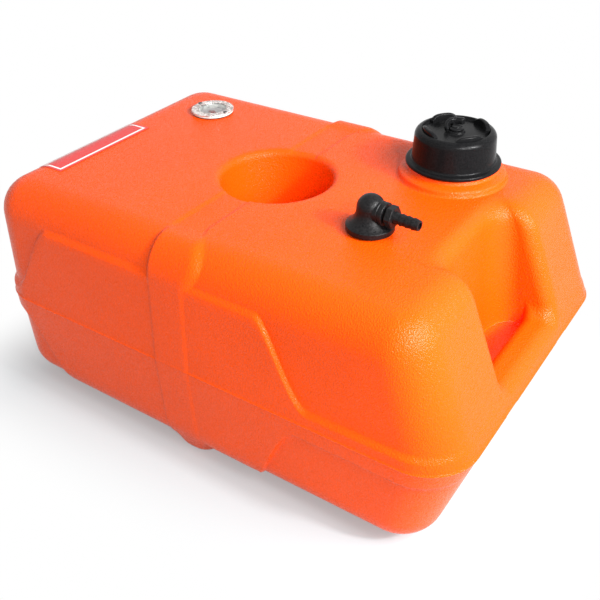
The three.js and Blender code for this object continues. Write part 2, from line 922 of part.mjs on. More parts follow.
function ventScrew() {
  const head = turned([
    [ventBore, capCeiling - ventStemReach],
    [ventStem, capCeiling - ventStemReach],
    [ventStem, ventHeadFoot],
    [ventHeadRadius, ventHeadFoot],
    [ventHeadRadius, ventHeadFoot + ventHead],
    [ventStem, ventHeadFoot + ventHead + gap],
    [ventStem, ventHeadFoot + ventHead + wingHeight],
    [0, ventHeadFoot + ventHead + wingHeight],
    [0, capFloor],
    [ventBore, capFloor],
  ], smallSteps);
  const wings = manifoldOf(new THREE.ExtrudeGeometry(wingPlan(), {
    depth: wingHeight,
    bevelEnabled: false,
  }));
  return head.add(moved(wings, 0, 0, ventHeadFoot + ventHead - bury / 2).rotate([0, 0, wingTurn]));
}

const ventSeal = () => ringOf(ventSealInner, ventSealOuter, hubTop - ventSealThickness + gap / 2,
  hubTop + gap / 2, smallSteps);

// Pick-up. Its origin is on the elbow's upright axis at the tank's top; the tail runs along +X.

const elbowFoot = pickupGasket + gap * 2;

function elbowBody() {
  const flangeTop = elbowFoot + elbowFlange;
  const shoulder = elbowFlangeRadius - bury;
  const flank = spread(0, 1, filletSteps + 2).map((share) => [
    elbowWaist + (shoulder - elbowWaist) * (1 - share) ** bellPower,
    flangeTop + elbowBell * share,
  ]);
  const bell = turned([
    [fuelBore, -spigotReach],
    [spigotRadius, -spigotReach],
    [spigotRadius, elbowFoot],
    [elbowFlangeRadius, elbowFoot],
    [elbowFlangeRadius, flangeTop - bury],
    ...flank,
    ...quarter([0, elbowTop - elbowWaist], elbowWaist, domeShares.from, domeShares.to, filletSteps),
    [0, elbowTop],
    [0, tailAxis + fuelBore],
    [fuelBore, tailAxis + fuelBore],
  ], smallSteps);
  const boss = moved(tippedToX(rod(bossRadius, 0, bossReach)), 0, 0, tailAxis);
  const passage = moved(tippedToX(rod(fuelBore, 0, bossReach + bury, tinySteps)), 0, 0, tailAxis);
  const socket = moved(
    tippedToX(rod(tailSpigot + gap, bossReach - tailSpigotReach - gap, bossReach + bury)),
    0,
    0,
    tailAxis,
  );
  const tube = rod(tubeRadius + gap, -spigotReach - bury, -spigotReach + tubeSocket + gap);
  return without(bell.add(boss), [passage, socket, tube]);
}

const pickupRing = () => ringOf(spigotRadius + gap, elbowFlangeRadius - bury, gap, gap + pickupGasket);

function pickupSleeve() {
  const flangeTop = -wall - gap;
  return turned([
    [spigotRadius + gap, flangeTop - insertFlange],
    [insertFlangeRadius, flangeTop - insertFlange],
    [insertFlangeRadius, flangeTop],
    [insertRadius, flangeTop],
    [insertRadius, -gap / 2],
    [spigotRadius + gap, -gap / 2],
  ], smallSteps);
}

const sealFoot = bossReach + gap;
const hexFoot = sealFoot + tailSealThickness + gap;

function hoseTail() {
  const hexRadius = hexAcross / Math.sqrt(3);
  const nut = rod(hexRadius, hexFoot, hexFoot + hexLength, 6);
  const barbFrom = tailTip - barbCount * barbPitch;
  const barbs = [];
  for (let i = 0; i < barbCount; i += 1) {
    const foot0 = barbFrom + i * barbPitch;
    barbs.push([barbRadius, foot0], [tailRadius, foot0 + barbPitch]);
  }
  const stem = turned([
    [fuelBore - gap, bossReach - tailSpigotReach],
    [tailSpigot, bossReach - tailSpigotReach],
    [tailSpigot, hexFoot + bury],
    [tailRadius, hexFoot + bury * 2],
    [tailRadius, barbFrom],
    ...barbs,
    [fuelBore - gap, tailTip],
  ], smallSteps);
  const bore = rod(fuelBore - gap, hexFoot - bury, hexFoot + hexLength + bury, smallSteps);
  return moved(tippedToX(stem.add(without(nut, [bore]))), 0, 0, tailAxis);
}

const tailSeal = () => moved(
  tippedToX(ringOf(tailSpigot + gap, tailSealRadius, sealFoot, sealFoot + tailSealThickness)),
  0,
  0,
  tailAxis,
);

// Depth of the tank's inner floor under its top.
const innerFloor = -topHeight - bottomDepth + wall;

const dipTube = () => ringOf(
  fuelBore - gap,
  tubeRadius,
  innerFloor + tubeGround,
  -spigotReach + tubeSocket,
  smallSteps,
);

function dipStrainer() {
  const foot0 = innerFloor + strainerGround;
  const cup = turned([
    [0, foot0],
    [strainerRadius, foot0],
    [strainerRadius, foot0 + strainerLength],
    [tubeRadius + gap, foot0 + strainerLength],
    [tubeRadius + gap, foot0 + strainerLength - strainerGround],
    [strainerRadius - strainerWall, foot0 + strainerLength - strainerGround],
    [strainerRadius - strainerWall, foot0 + strainerWall],
    [0, foot0 + strainerWall],
  ], smallSteps);
  const slots = [];
  for (let i = 0; i < strainerSlots / 2; i += 1) {
    const bar = new THREE.BoxGeometry(
      strainerRadius * 3,
      strainerSlotWidth,
      strainerLength - strainerGround * 3,
    );
    const angle = (180 / (strainerSlots / 2)) * i;
    const middle = foot0 + (strainerLength - strainerGround) / 2;
    slots.push(moved(manifoldOf(bar).rotate([0, 0, angle]), 0, 0, middle));
  }
  return without(cup, slots);
}

// Gauge. Its origin is on the gauge's axis at the tank's top.

const gaugeFlangeFoot = gaugeGasket + gap * 2;
const bezelFoot = gaugeFlangeFoot + gaugeFlange + gap;
const bezelTop = bezelFoot + bezelThickness;
const dialTop = gaugeFlangeFoot + gaugeFlange - dialDrop;

function gaugeScrewPlaces() {
  return Array.from({ length: gaugeScrewCount }, (_, i) => {
    const angle = turn(gaugeScrewTurn + (360 / gaugeScrewCount) * i);
    return [gaugeScrewCircle * Math.cos(angle), gaugeScrewCircle * Math.sin(angle)];
  });
}

function gaugeScrewBodies(radius, from, to) {
  return joined(gaugeScrewPlaces().map(([x, y]) => moved(
    rod(radius, from, to, tinySteps),
    gaugeX + x,
    gaugeY + y,
    partingHeight + topHeight,
  )));
}

function screwHoles(from, to) {
  return gaugeScrewPlaces().map(([x, y]) => moved(rod(gaugeScrewRadius + gap, from, to, tinySteps), x, y));
}

function gaugeHousing() {
  const cupFoot = gaugeFlangeFoot - cupDepth;
  const cup = turned([
    [stripBearing + gap, cupFoot],
    [cupRadius, cupFoot],
    [cupRadius, gaugeFlangeFoot],
    [gaugeFlangeRadius, gaugeFlangeFoot],
    [gaugeFlangeRadius, gaugeFlangeFoot + gaugeFlange],
    [cupRadius - cupWall, gaugeFlangeFoot + gaugeFlange],
    [cupRadius - cupWall, cupFoot + cupWall * 2],
    [stripBearing + gap, cupFoot + cupWall * 2],
  ], smallSteps);
  const sockets = [-1, 1].map((side) => moved(
    rod(rodRadius + gap, cupFoot - bury, cupFoot + rodSocket, tinySteps),
    0,
    (side * rodSpacing) / 2,
  ));
  return without(cup, [...screwHoles(gaugeFlangeFoot - bury, bezelTop), ...sockets]);
}

function gaugeRing() {
  return without(
    ringOf(gaugeHole, gaugeFlangeRadius - gap, gap, gap + gaugeGasket),
    screwHoles(-bury, bezelTop),
  );
}

function gaugeBezel() {
  const body = turned([
    [bezelBore + bezelStep, bezelFoot],
    [bezelRadius, bezelFoot],
    [bezelRadius, bezelTop - bezelStep],
    [bezelRadius - bezelStep, bezelTop],
    [bezelBore + bezelStep / 2, bezelTop],
    [bezelBore, bezelTop - bezelStep],
    [bezelBore + bezelStep, bezelTop - bezelStep],
  ], smallSteps);
  return without(body, screwHoles(bezelFoot - bury, bezelTop + bury));
}

function gaugeLens() {
  const radius = bezelBore + bezelStep - gap;
  const foot0 = bezelFoot;
  const rise = spread(0, 1, filletSteps).map((share) => [
    (bezelBore - gap) * (1 - share),
    bezelTop - bezelStep - gap + (lensRise + bezelStep - gap) * (1 - (1 - share) * (1 - share)),
  ]);
  return turned([
    [0, foot0 + (bezelThickness - bezelStep - gap) - lensThickness + lensRise],
    [radius - lensThickness, foot0],
    [radius, foot0],
    [radius, bezelTop - bezelStep - gap],
    ...rise,
  ], smallSteps);
}

const gaugeDial = () => ringOf(stripBearing, cupRadius - cupWall - gap, dialTop - dialThickness, dialTop);

const pointerFoot = dialTop + gap * 2;

function gaugePointer() {
  const plan = new THREE.Shape([
    new THREE.Vector2(-pointerTail, -pointerWidth),
    new THREE.Vector2(pointerLength, -pointerWidth / 4),
    new THREE.Vector2(pointerLength, pointerWidth / 4),
    new THREE.Vector2(-pointerTail, pointerWidth),
  ]);
  const needle = manifoldOf(new THREE.ExtrudeGeometry(plan, {
    depth: pointerThickness,
    bevelEnabled: false,
  }));
  const hub = rod(pointerHub, pointerFoot - gap, pointerFoot + pointerThickness + pointerThickness / 2);
  return moved(needle, 0, 0, pointerFoot).add(hub);
}

function gaugeScrew(index) {
  const [x, y] = gaugeScrewPlaces()[index];
  return moved(turned([
    [0, bezelTop - gaugeScrewReach],
    [gaugeScrewRadius, bezelTop - gaugeScrewReach],
    [gaugeScrewRadius, bezelTop + gap],
    [gaugeScrewHead, bezelTop + gap],
    [gaugeScrewHead - gap, bezelTop + gap + gaugeScrewHeadHeight],
    [0, bezelTop + gap + gaugeScrewHeadHeight],
  ], tinySteps), x, y);
}

// Float, guide and strip. The strip turns by the same angle per millimetre all along.

const cupUnder = gaugeFlangeFoot - cupDepth;
const footTop = innerFloor + footGround + footThickness;
const floatFoot = footTop + gap;
const stripFoot = footTop - footThickness / 2;
const stripTop = pointerFoot - gap * 2;

function twistedStrip() {
  const ring = (height) => {
    const angle = turn(stripTwistPerMm * (height - stripFoot));
    return [[-1, -1], [1, -1], [1, 1], [-1, 1]].map(([a, b]) => {
      const along = (a * stripWidth) / 2;
      const across = (b * stripThickness) / 2;
      return new THREE.Vector3(
        along * Math.cos(angle) - across * Math.sin(angle),
        along * Math.sin(angle) + across * Math.cos(angle),
        height,
      );
    });
  };
  return lofted(spread(stripFoot, stripTop, stripSteps).map(ring));
}

const guideRod = (side) => moved(
  rod(rodRadius, footTop - footThickness + gap, cupUnder + rodSocket - gap, tinySteps),
  0,
  (side * rodSpacing) / 2,
);

function guideFoot() {
  const bearing = rod(stripBearing, stripFoot - gap, footTop + bury, tinySteps);
  const sockets = [-1, 1].map((side) => moved(
    rod(rodRadius + gap, footTop - footThickness - bury, footTop + bury, tinySteps),
    0,
    (side * rodSpacing) / 2,
  ));
  return without(rod(footRadius, footTop - footThickness, footTop), [bearing, ...sockets]);
}

function floatBody() {
  const holes = [-1, 1].map((side) => moved(
    rod(rodRadius + rodClearance, floatFoot - bury, floatFoot + floatHeight + bury, tinySteps),
    0,
    (side * rodSpacing) / 2,
  ));
  return without(ringOf(floatBore, floatRadius, floatFoot, floatFoot + floatHeight), holes);
}

function floatFollower() {
  const foot0 = floatFoot + floatHeight + gap;
  const angle = stripTwistPerMm * (foot0 + followerThickness / 2 - stripFoot);
  const slot = manifoldOf(new THREE.BoxGeometry(
    stripWidth + slotClearance * 2,
    stripThickness + slotClearance * 2,
    followerThickness * 3,
  )).rotate([0, 0, angle]).translate([0, 0, foot0 + followerThickness / 2]);
  return without(rod(followerRadius, foot0, foot0 + followerThickness), [slot]);
}

// Assembly

function piece(name, solid, colour) {
  const [red, green, blue, roughness] = colour;
  const material = new THREE.MeshStandardMaterial({
    color: new THREE.Color(red, green, blue),
    roughness,
    metalness: colour === colours.bright || colour === colours.brass ? 1 : 0,
  });
  material.name = name;
  const mesh = new THREE.Mesh(geometryOf(solid), material);
  mesh.name = name;
  return mesh;
}

function group(name, x, y, pieces, turnDegrees = 0) {
  const set = new THREE.Group();
  set.name = name;
  set.position.set(x, y, partingHeight + topHeight);
  set.rotation.z = turn(turnDegrees);
  set.add(...pieces);
  return set;
}

const tank = new THREE.Group();
tank.name = 'outboard_fuel_tank';
tank.add(
  piece('tank_shell', tankShell(), colours.shell),
  group('filler', neckX, neckY, [
    piece('filler_cap', fillerCap(), colours.black),
    piece('cap_gasket', capGasket(), colours.rubber),
    piece('vent_baffle', ventBaffle(), colours.satin),
    piece('vent_screw', ventScrew(), colours.black),
    piece('vent_seal', ventSeal(), colours.rubber),
  ]),
  group('pickup', elbowX, elbowY, [
    piece('pickup_elbow', elbowBody(), colours.satin),
    piece('pickup_gasket', pickupRing(), colours.rubber),
    piece('pickup_insert', pickupSleeve(), colours.brass),
    piece('hose_tail', hoseTail(), colours.satin),
    piece('tail_seal', tailSeal(), colours.rubber),
    piece('dip_tube', dipTube(), colours.white),
    piece('dip_strainer', dipStrainer(), colours.white),
  ], tailTurn),
  group('gauge', gaugeX, gaugeY, [
    piece('gauge_housing', gaugeHousing(), colours.white),
    piece('gauge_gasket', gaugeRing(), colours.rubber),
    piece('gauge_bezel', gaugeBezel(), colours.bright),
    piece('gauge_lens', gaugeLens(), colours.lens),
    piece('gauge_dial', gaugeDial(), colours.grey),
    piece('gauge_pointer', gaugePointer(), colours.red),
    piece('gauge_stem', twistedStrip(), colours.brass),
    piece('gauge_screw_right', gaugeScrew(0), colours.bright),
    piece('gauge_screw_left', gaugeScrew(1), colours.bright),
    piece('guide_rod_near', guideRod(-1), colours.bright),
    piece('guide_rod_back', guideRod(1), colours.bright),
    piece('guide_foot', guideFoot(), colours.white),
    piece('float', floatBody(), colours.cork),
    piece('float_follower', floatFollower(), colours.white),
  ]),
);

export default tank;
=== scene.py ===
import math

import bpy
import numpy as np
from bpy.props import FloatProperty, FloatVectorProperty, PointerProperty
from mathutils import Matrix, Vector


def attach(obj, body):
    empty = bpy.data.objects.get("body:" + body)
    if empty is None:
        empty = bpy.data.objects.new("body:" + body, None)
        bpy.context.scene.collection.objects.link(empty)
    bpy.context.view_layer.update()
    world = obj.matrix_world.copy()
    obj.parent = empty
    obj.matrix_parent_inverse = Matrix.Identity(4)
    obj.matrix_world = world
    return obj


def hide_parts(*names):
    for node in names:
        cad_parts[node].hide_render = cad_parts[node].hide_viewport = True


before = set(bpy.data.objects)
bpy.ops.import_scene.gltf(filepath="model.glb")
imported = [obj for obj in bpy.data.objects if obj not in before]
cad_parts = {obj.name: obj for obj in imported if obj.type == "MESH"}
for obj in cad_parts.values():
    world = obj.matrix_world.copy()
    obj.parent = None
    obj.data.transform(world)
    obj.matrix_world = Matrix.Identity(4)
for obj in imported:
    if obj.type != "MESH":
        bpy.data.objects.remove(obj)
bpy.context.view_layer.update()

bl_info = {
    "name": "Outboard fuel tank",
    "version": (1, 0, 0),
    "blender": (4, 5, 0),
    "location": "3D View > Sidebar > Fuel tank",
    "description": "Dresses the solids of a portable fuel tank and lights them",
    "category": "Object",
}

# Heights of the body are counted from the parting plane of its mould, in metres.
PARTING = 0.110
UPPER = {
    "reach": 0.115, "fillet": 0.034, "side_slope": 0.064, "bar_slope": 0.4,
    "belt": (0.009, 0.082), "belt_falls": (0.124, 0.074),
}
LOWER = {
    "reach": 0.102, "fillet": 0.030, "side_slope": 0.04, "bar_slope": 0.3,
    "belt": (0.015, 0.094), "belt_falls": (0.112, 0.060),
}
FAR_SLOPE = 0.02
FAR_OUT = 0.2465
BAR_OUT = 0.2495
SIDE_OUT = 0.1625
PROUD = 0.0035
BAR_END_PROUD = 0.0005
CORNER = 0.041
LEAST_CORNER = 0.015
TOP = PARTING + UPPER["reach"]

# Belt round the body and band across it.
BELT_RAMP = 0.0065
BELT_RISES = (-0.220, -0.160)
BAND_LEFT = -0.0385
BAND_RIGHT = -0.0074
BAND_RAMP = 0.006
BAND_PROUD = 0.0042
BAND_FLARE = 0.0216
BAND_NARROWED = 0.006
FLARE_RAMP = 0.004
FLARE_RAMP_MORE = 0.008
CHANNEL_DEPTH = 0.0012
SEAM_PROUD = 0.0007
SEAM_HALF = 0.0011

# Stretches past the edge of the flat top over which the band rises, flares, narrows and softens.
BAND_RISES = (-0.006, 0.020)
BAND_FLARES = (-0.015, 0.033)
BAND_NARROWS = (0.033, 0.053)
BAND_SOFTENS = (0, 0.022)

# Scoop behind the hand bar, and the bar itself.
SCOOP_BACK = 0.190
SCOOP_SLOPE = 0.13
SCOOP_HALF = 0.056
SCOOP_ROLL = 0.013
SCOOP_CORNER = 0.020
SCOOP_CORNER_ACROSS = 0.030
BAR_FROM = 0.216
BAR_HALF = 0.015
BAR_BLEND = 0.011

# Round well.
WELL_X = -0.018
WELL_RADIUS = 0.052
WELL_LIP = 0.007
WELL_FLOOR_RADIUS = 0.037
WELL_FLOOR_ROUND = 0.012
WELL_DEPTH = 0.132
RIM_TURN = 0.45

# Thickness of the body's wall, and how coarse its inner face is against the outer one.
WALL = 0.004
INNER_STEP = 3

# Feet: the middle of each along the tank, and half its width.
FEET = ((-0.018, 0.150), (-0.165, 0.095), (0.140, 0.095))
FOOT_HALF_LENGTH = 0.020
FOOT_FLARE = 0.008
FOOT_CORNER = 0.016
FOOT_SUNK = 0.003

# Where the neck, the elbow and the gauge stand on the top, and the bores under them.
NECK = (0.118, 0.087)
ELBOW = (0.105, -0.041)
ELBOW_TURN = math.radians(-4)
GAUGE = (-0.166, 0.088)
BORES = ((0.029, NECK), (0.0113, ELBOW), (0.0176, GAUGE))
BORE_REACH = 0.012


# Numbers and arrays

def smooth_share(value, start, end):
    """A share that eases from 0 at start to 1 at end: 3 s squared less 2 s cubed."""
    share = np.clip((value - start) / (end - start), 0, 1)
    return share * share * (3 - 2 * share)


def shares(count, whole=None):
    """A column of the shares 1, 2 up to count of a whole, which is count where none is given."""
    return (np.arange(1, count + 1) / (whole or count))[:, None]


def arc(centre, radius, start, end, steps):
    """Points of a circle's arc between two angles in degrees, both ends in."""
    angle = np.radians(np.linspace(start, end, steps + 1))
    return np.stack([centre[0] + radius * np.cos(angle), centre[1] + radius * np.sin(angle)], 1)


def points_at(x, y, z):
    """Points by their x, y and z, arrays or numbers that are spread over one another."""
    return np.stack(np.broadcast_arrays(x, y, z), -1)


def round_grid(radius, angle, height, centre=(0, 0)):
    """A grid of points by their radius, angle and height round an upright axis."""
    return points_at(centre[0] + radius * np.cos(angle), centre[1] + radius * np.sin(angle), height)


def rounded(corners, steps=5):
    """A profile through corners, each replaced by an arc where a third number gives the arc's radius."""
    places = [np.array(corner[:2], float) for corner in corners]
    parts = [places[0][None]]
    for before, here, after, corner in zip(places, places[1:], places[2:], corners[1:]):
        if len(corner) == 2:
            parts.append(here[None])
            continue
        radius = corner[2]
        back, on = before - here, after - here
        back, on = back / np.linalg.norm(back), on / np.linalg.norm(on)
        half = math.acos(float(np.clip(back @ on, -1, 1))) / 2
        reach = radius / math.tan(half)
        centre = here + (back + on) / np.linalg.norm(back + on) * radius / math.sin(half)
        start, end = here + back * reach - centre, here + on * reach - centre
        turn = math.pi - 2 * half
        share = np.linspace(0, 1, steps + 1)[:, None]
        swing = np.sin((1 - share) * turn) * start + np.sin(share * turn) * end
        parts.append(centre + swing / math.sin(turn))
    parts.append(places[-1][None])
    return np.concatenate(parts)


# Meshes

def facing_out(points, quads, triangles=np.zeros((0, 3), int)):
    """A closed skin's points and faces, turned where the sum of a . (b x c) over its triangles is below 0."""
    flat = np.concatenate([quads[:, [0, 1, 2]], quads[:, [0, 2, 3]], triangles])
    a, b, c = (points[flat[:, k]] for k in range(3))
    turn = -1 if np.einsum("ij,ij->i", a, np.cross(b, c)).sum() < 0 else 1
    return points, quads[:, ::turn], triangles[:, ::turn]


def grid_faces(rows, columns, closed_rows=False):
    """Four-sided faces of a grid whose columns close round on themselves."""
    row, column = np.indices((rows if closed_rows else rows - 1, columns)).reshape(2, -1)
    below, beside = (row + 1) % rows, (column + 1) % columns
    corners = (row, column), (row, beside), (below, beside), (below, column)
    return np.stack([r * columns + c for r, c in corners], 1)


def skin_arrays(grid, closed_rows=False):
    """Points and faces of a closed skin over a grid: open ends close on the middle of their row."""
    rows, columns = grid.shape[:2]
    points = grid.reshape(-1, 3)
    quads = grid_faces(rows, columns, closed_rows)
    if closed_rows:
        return facing_out(points, quads)
    points = np.concatenate([points, grid[0].mean(0)[None], grid[-1].mean(0)[None]])
    here = np.arange(columns)
    beside = (here + 1) % columns
    first = np.stack([np.full(columns, rows * columns), beside, here], 1)
    start = (rows - 1) * columns
    last = np.stack([np.full(columns, rows * columns + 1), start + here, start + beside], 1)
    return facing_out(points, quads, np.concatenate([first, last]))


def add_piece(name, skins, material, body, replaces=(), sharp=40):
    """Makes one object of closed skins, the arrays of skin_arrays, that rides on its CAD body."""
    points, quads, triangles = zip(*skins)
    firsts = np.cumsum([0, *(len(p) for p in points)])
    points = np.concatenate(points)
    quads, triangles = (
        np.concatenate([face + first for face, first in zip(faces, firsts)]) for faces in (quads, triangles)
    )
    sizes = np.concatenate([np.full(len(quads), 4), np.full(len(triangles), 3)])
    loops = np.concatenate([quads.ravel(), triangles.ravel()])
    mesh = bpy.data.meshes.new(name)
    mesh.vertices.add(len(points))
    mesh.vertices.foreach_set("co", points.astype(np.float32).ravel())
    mesh.loops.add(len(loops))
    mesh.loops.foreach_set("vertex_index", loops.astype(np.int32))
    mesh.polygons.add(len(sizes))
    mesh.polygons.foreach_set("loop_start", (np.cumsum(sizes) - sizes).astype(np.int32))
    mesh.update(calc_edges=True)
    mesh.validate()
    mesh.shade_smooth()
    mesh.set_sharp_from_angle(angle=math.radians(sharp))
    mesh.materials.append(material)
    piece = bpy.data.objects.new(name, mesh)
    bpy.context.scene.collection.objects.link(piece)
    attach(piece, body)
    if replaces:
        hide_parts(*replaces)
    return piece


def lathe(profile, steps=96, centre=(0, 0), closed=False):
    """A profile of radius and height carried round an upright axis."""
    angle = np.linspace(0, 2 * math.pi, steps, endpoint=False)
    return skin_arrays(round_grid(profile[:, :1], angle, profile[:, 1:], centre), closed)


def placed(skin, matrix):
    """A skin moved by a 4 x 4 matrix."""
    points, quads, triangles = skin
    matrix = np.array(matrix)
    return points @ matrix[:3, :3].T + matrix[:3, 3], quads, triangles


# Materials

def join(tree, target, inputs):
    """Gives each input of a node its value, or joins it to the output that stands in the value's place."""
    for key, value in inputs.items():
        if isinstance(value, bpy.types.NodeSocket):
            tree.links.new(value, target.inputs[key])
        else:
            target.inputs[key].default_value = value


def add_node(tree, kind, inputs=None, **settings):
    """A new node with its settings and inputs."""
    made = tree.nodes.new("ShaderNode" + kind)
    for name, value in settings.items():
        setattr(made, name, value)
    join(tree, made, inputs or {})
    return made


def maths(tree, operation, *values, kind="Math", output=0):
    """What a Math or Vector Math node gives for its values, each a number or another node's output."""
    return add_node(tree, kind, dict(enumerate(values)), operation=operation).outputs[output]


def new_material(name):
    """An empty node material with its shader and output joined."""
    material = bpy.data.materials.new(name)
    material.use_nodes = True
    tree = material.node_tree
    tree.nodes.clear()
    shader = add_node(tree, "BsdfPrincipled")
    add_node(tree, "OutputMaterial", {"Surface": shader.outputs["BSDF"]})
    return material, tree, shader


def noise(tree, scale, detail=3, output="Fac"):
    """Noise in object space; its scale is in cells to the metre."""
    place = add_node(tree, "TexCoord").outputs["Object"]
    return add_node(tree, "TexNoise", {"Vector": place, "Scale": scale, "Detail": detail}).outputs[output]


def colour_between(tree, factor, low, high, start=0.35, end=0.65):
    """A colour that runs from low to high as the factor goes from start to end."""
    ramp = add_node(tree, "ValToRGB", {"Fac": factor})
    for stop, position, colour in zip(ramp.color_ramp.elements, (start, end), (low, high)):
        stop.position = position
        stop.color = (*colour, 1)
    return ramp.outputs["Color"]


def value_between(tree, factor, low, high):
    """A value that runs from low to high as the factor goes from 0.3 to 0.7."""
    limits = {"From Min": 0.3, "From Max": 0.7, "To Min": low, "To Max": high}
    return add_node(tree, "MapRange", {"Value": factor, **limits}).outputs["Result"]


def bump(tree, height, strength, distance):
    """Normals of a surface raised by the height."""
    inputs = {"Height": height, "Strength": strength, "Distance": distance}
    return add_node(tree, "Bump", inputs).outputs["Normal"]


def orange_plastic(looks):
    """Moulded orange plastic: a pebble grain of rounded cells, with a faint change of colour and gloss."""
    warp, duller = 0.0015, 0.94
    material, tree, shader = new_material("orange_plastic")
    wander = noise(tree, looks.grain_scale / 3, 2, "Color")
    place = add_node(tree, "TexCoord").outputs["Object"]
    spot = maths(tree, "MULTIPLY_ADD", wander, (warp, warp, warp), place, kind="VectorMath")
    cells = add_node(tree, "TexVoronoi", {
        "Vector": spot, "Scale": looks.grain_scale, "Smoothness": 0.6,
    }, feature="SMOOTH_F1")
    low = [c * duller for c in looks.orange]
    join(tree, shader, {
        "Base Color": colour_between(tree, noise(tree, 9, 2), low, looks.orange),
        "Roughness": value_between(tree, noise(tree, 420), 0.20, 0.34),
        "Specular IOR Level": 0.17,
        "Specular Tint": (1, 0.84, 0.74, 1),
        "Normal": bump(tree, cells.outputs["Distance"], looks.grain_strength, 0.0010),
    })
    return material


def mottled(name, grain, colours, rough, levels, raised=None, stops=(0.35, 0.65)):
    """A finish whose colour, gloss and, where it is raised, height follow one noise of a scale and detail.
    Levels are the shader's other inputs."""
    material, tree, shader = new_material(name)
    factor = noise(tree, *grain)
    join(tree, shader, {
        "Base Color": colour_between(tree, factor, *colours, *stops),
        "Roughness": value_between(tree, factor, *rough),
        **levels,
    })
    if raised:
        join(tree, shader, {"Normal": bump(tree, factor, *raised)})
    return material


def black_plastic(name, colour, gloss, rough, scale, strength):
    """Black plastic with a fine mottle in its gloss and a faint grain."""
    lighter = [c * 1.6 + 0.004 for c in colour]
    levels = {"Specular IOR Level": gloss}
    return mottled(name, (scale, 4), (colour, lighter), rough, levels, (strength, 0.0003))


def plain_finish(name, colour, roughness, metallic=0.0):
    """A finish with a slight unevenness in colour and gloss."""
    spread, darker = 0.08, [c * 0.9 for c in colour]
    rough = (roughness - spread, roughness + spread)
    return mottled(name, (300, 3), (darker, colour), rough, {"Metallic": metallic})


def crinkled_rim():
    """Bright pressed rim: pale, uneven, with dents that throw small sharp lights."""
    colours = ((0.42, 0.32, 0.29), (0.86, 0.80, 0.77))
    return mottled(
        "gauge_bright", (330, 3), colours, (0.12, 0.34), {"Metallic": 0.75}, (0.9, 0.0016), (0.38, 0.6))


def clear_plastic():
    """Clear moulded plastic, thin enough to see the dial through it."""
    colours = ((0.93, 0.95, 0.95), (0.99, 1.0, 1.0))
    levels = {"Transmission Weight": 1.0, "IOR": 1.2}
    return mottled("clear_plastic", (120, 2), colours, (0.03, 0.08), levels)


def label_red(looks):
    """Printed red strip with a thin pale line near its edge, by the strip's own UV map. The line is what lies
    inside the outer of two boxes and outside the inner one."""
    material, tree, shader = new_material("label_red")
    uv = add_node(tree, "UVMap", uv_map="strip").outputs["UV"]
    parts = add_node(tree, "SeparateXYZ", {"Vector": uv}).outputs
    away = [maths(tree, "ABSOLUTE", maths(tree, "SUBTRACT", parts[axis], 0.5)) for axis in "XY"]
    inner, outer = (
        maths(tree, "MULTIPLY", *(maths(tree, "LESS_THAN", *pair) for pair in zip(away, box)))
        for box in ((0.462, 0.33), (0.478, 0.41))
    )
    line = maths(tree, "SUBTRACT", outer, inner)
    join(tree, shader, {
        "Base Color": colour_between(tree, line, looks.label, (0.85, 0.82, 0.80), 0.4, 0.6),
        "Roughness": value_between(tree, noise(tree, 200, 2), 0.25, 0.4),
    })
    return material


# Body: plan outline at each height, carried from the foot of the tank to the floor of the well

def wall_out(height, at_parting, slope, half):
    """How far out a wall is at a height: a straight slope, then a quarter round level with the reach."""
    fillet, reach = half["fillet"], half["reach"]
    lean = math.hypot(1, slope)
    centre = reach - fillet
    centre_out = at_parting - slope * centre - fillet * lean
    tangent = centre + fillet * slope / lean
    rise = np.clip(height - centre, 0, fillet)
    return np.where(height <= tangent, at_parting - slope * height, centre_out + np.sqrt(fillet**2 - rise**2))


# Steps of each stretch of the outline: the scoop's back wall, its inner corner, its cheek, the cheek's nose,
# the bar's end, the corner, the long side, the far corner, and half the far end.
OUTLINE_STEPS = (10, 8, 14, 8, 10, 14, 172, 14, 16)
OUTLINE_COUNT = sum(OUTLINE_STEPS) + 1

# The stretch that each station lies on, and its share of the way along.
STRETCH = np.append(np.repeat(np.arange(len(OUTLINE_STEPS)), OUTLINE_STEPS), len(OUTLINE_STEPS) - 1)
ALONG = np.concatenate([*(np.arange(steps) / steps for steps in OUTLINE_STEPS), [1]])

MIDDLE = (-0.10, 0.06)


def long_side(start, end):
    """Places along a long side from start to end: closer together at the band's edges, and stretched only
    outside the middle, so that those round the band stay where they are at every height."""
    first, last = BAR_OUT - CORNER, CORNER - FAR_OUT
    x = np.linspace(first, last, 4001)
    density = 1 + 2.2 * ((x > -0.046) & (x < -0.031)) + 2.2 * ((x > -0.014) & (x < 0.018))
    share = np.cumsum(density)
    place = np.interp(ALONG, (share - share[0]) / (share[-1] - share[0]), x)
    low, high = MIDDLE
    upper = high + (place - high) * (start - high) / (first - high)
    lower = low + (place - low) * (end - low) / (last - low)
    return np.where(place > high, upper, np.where(place < low, lower, place))


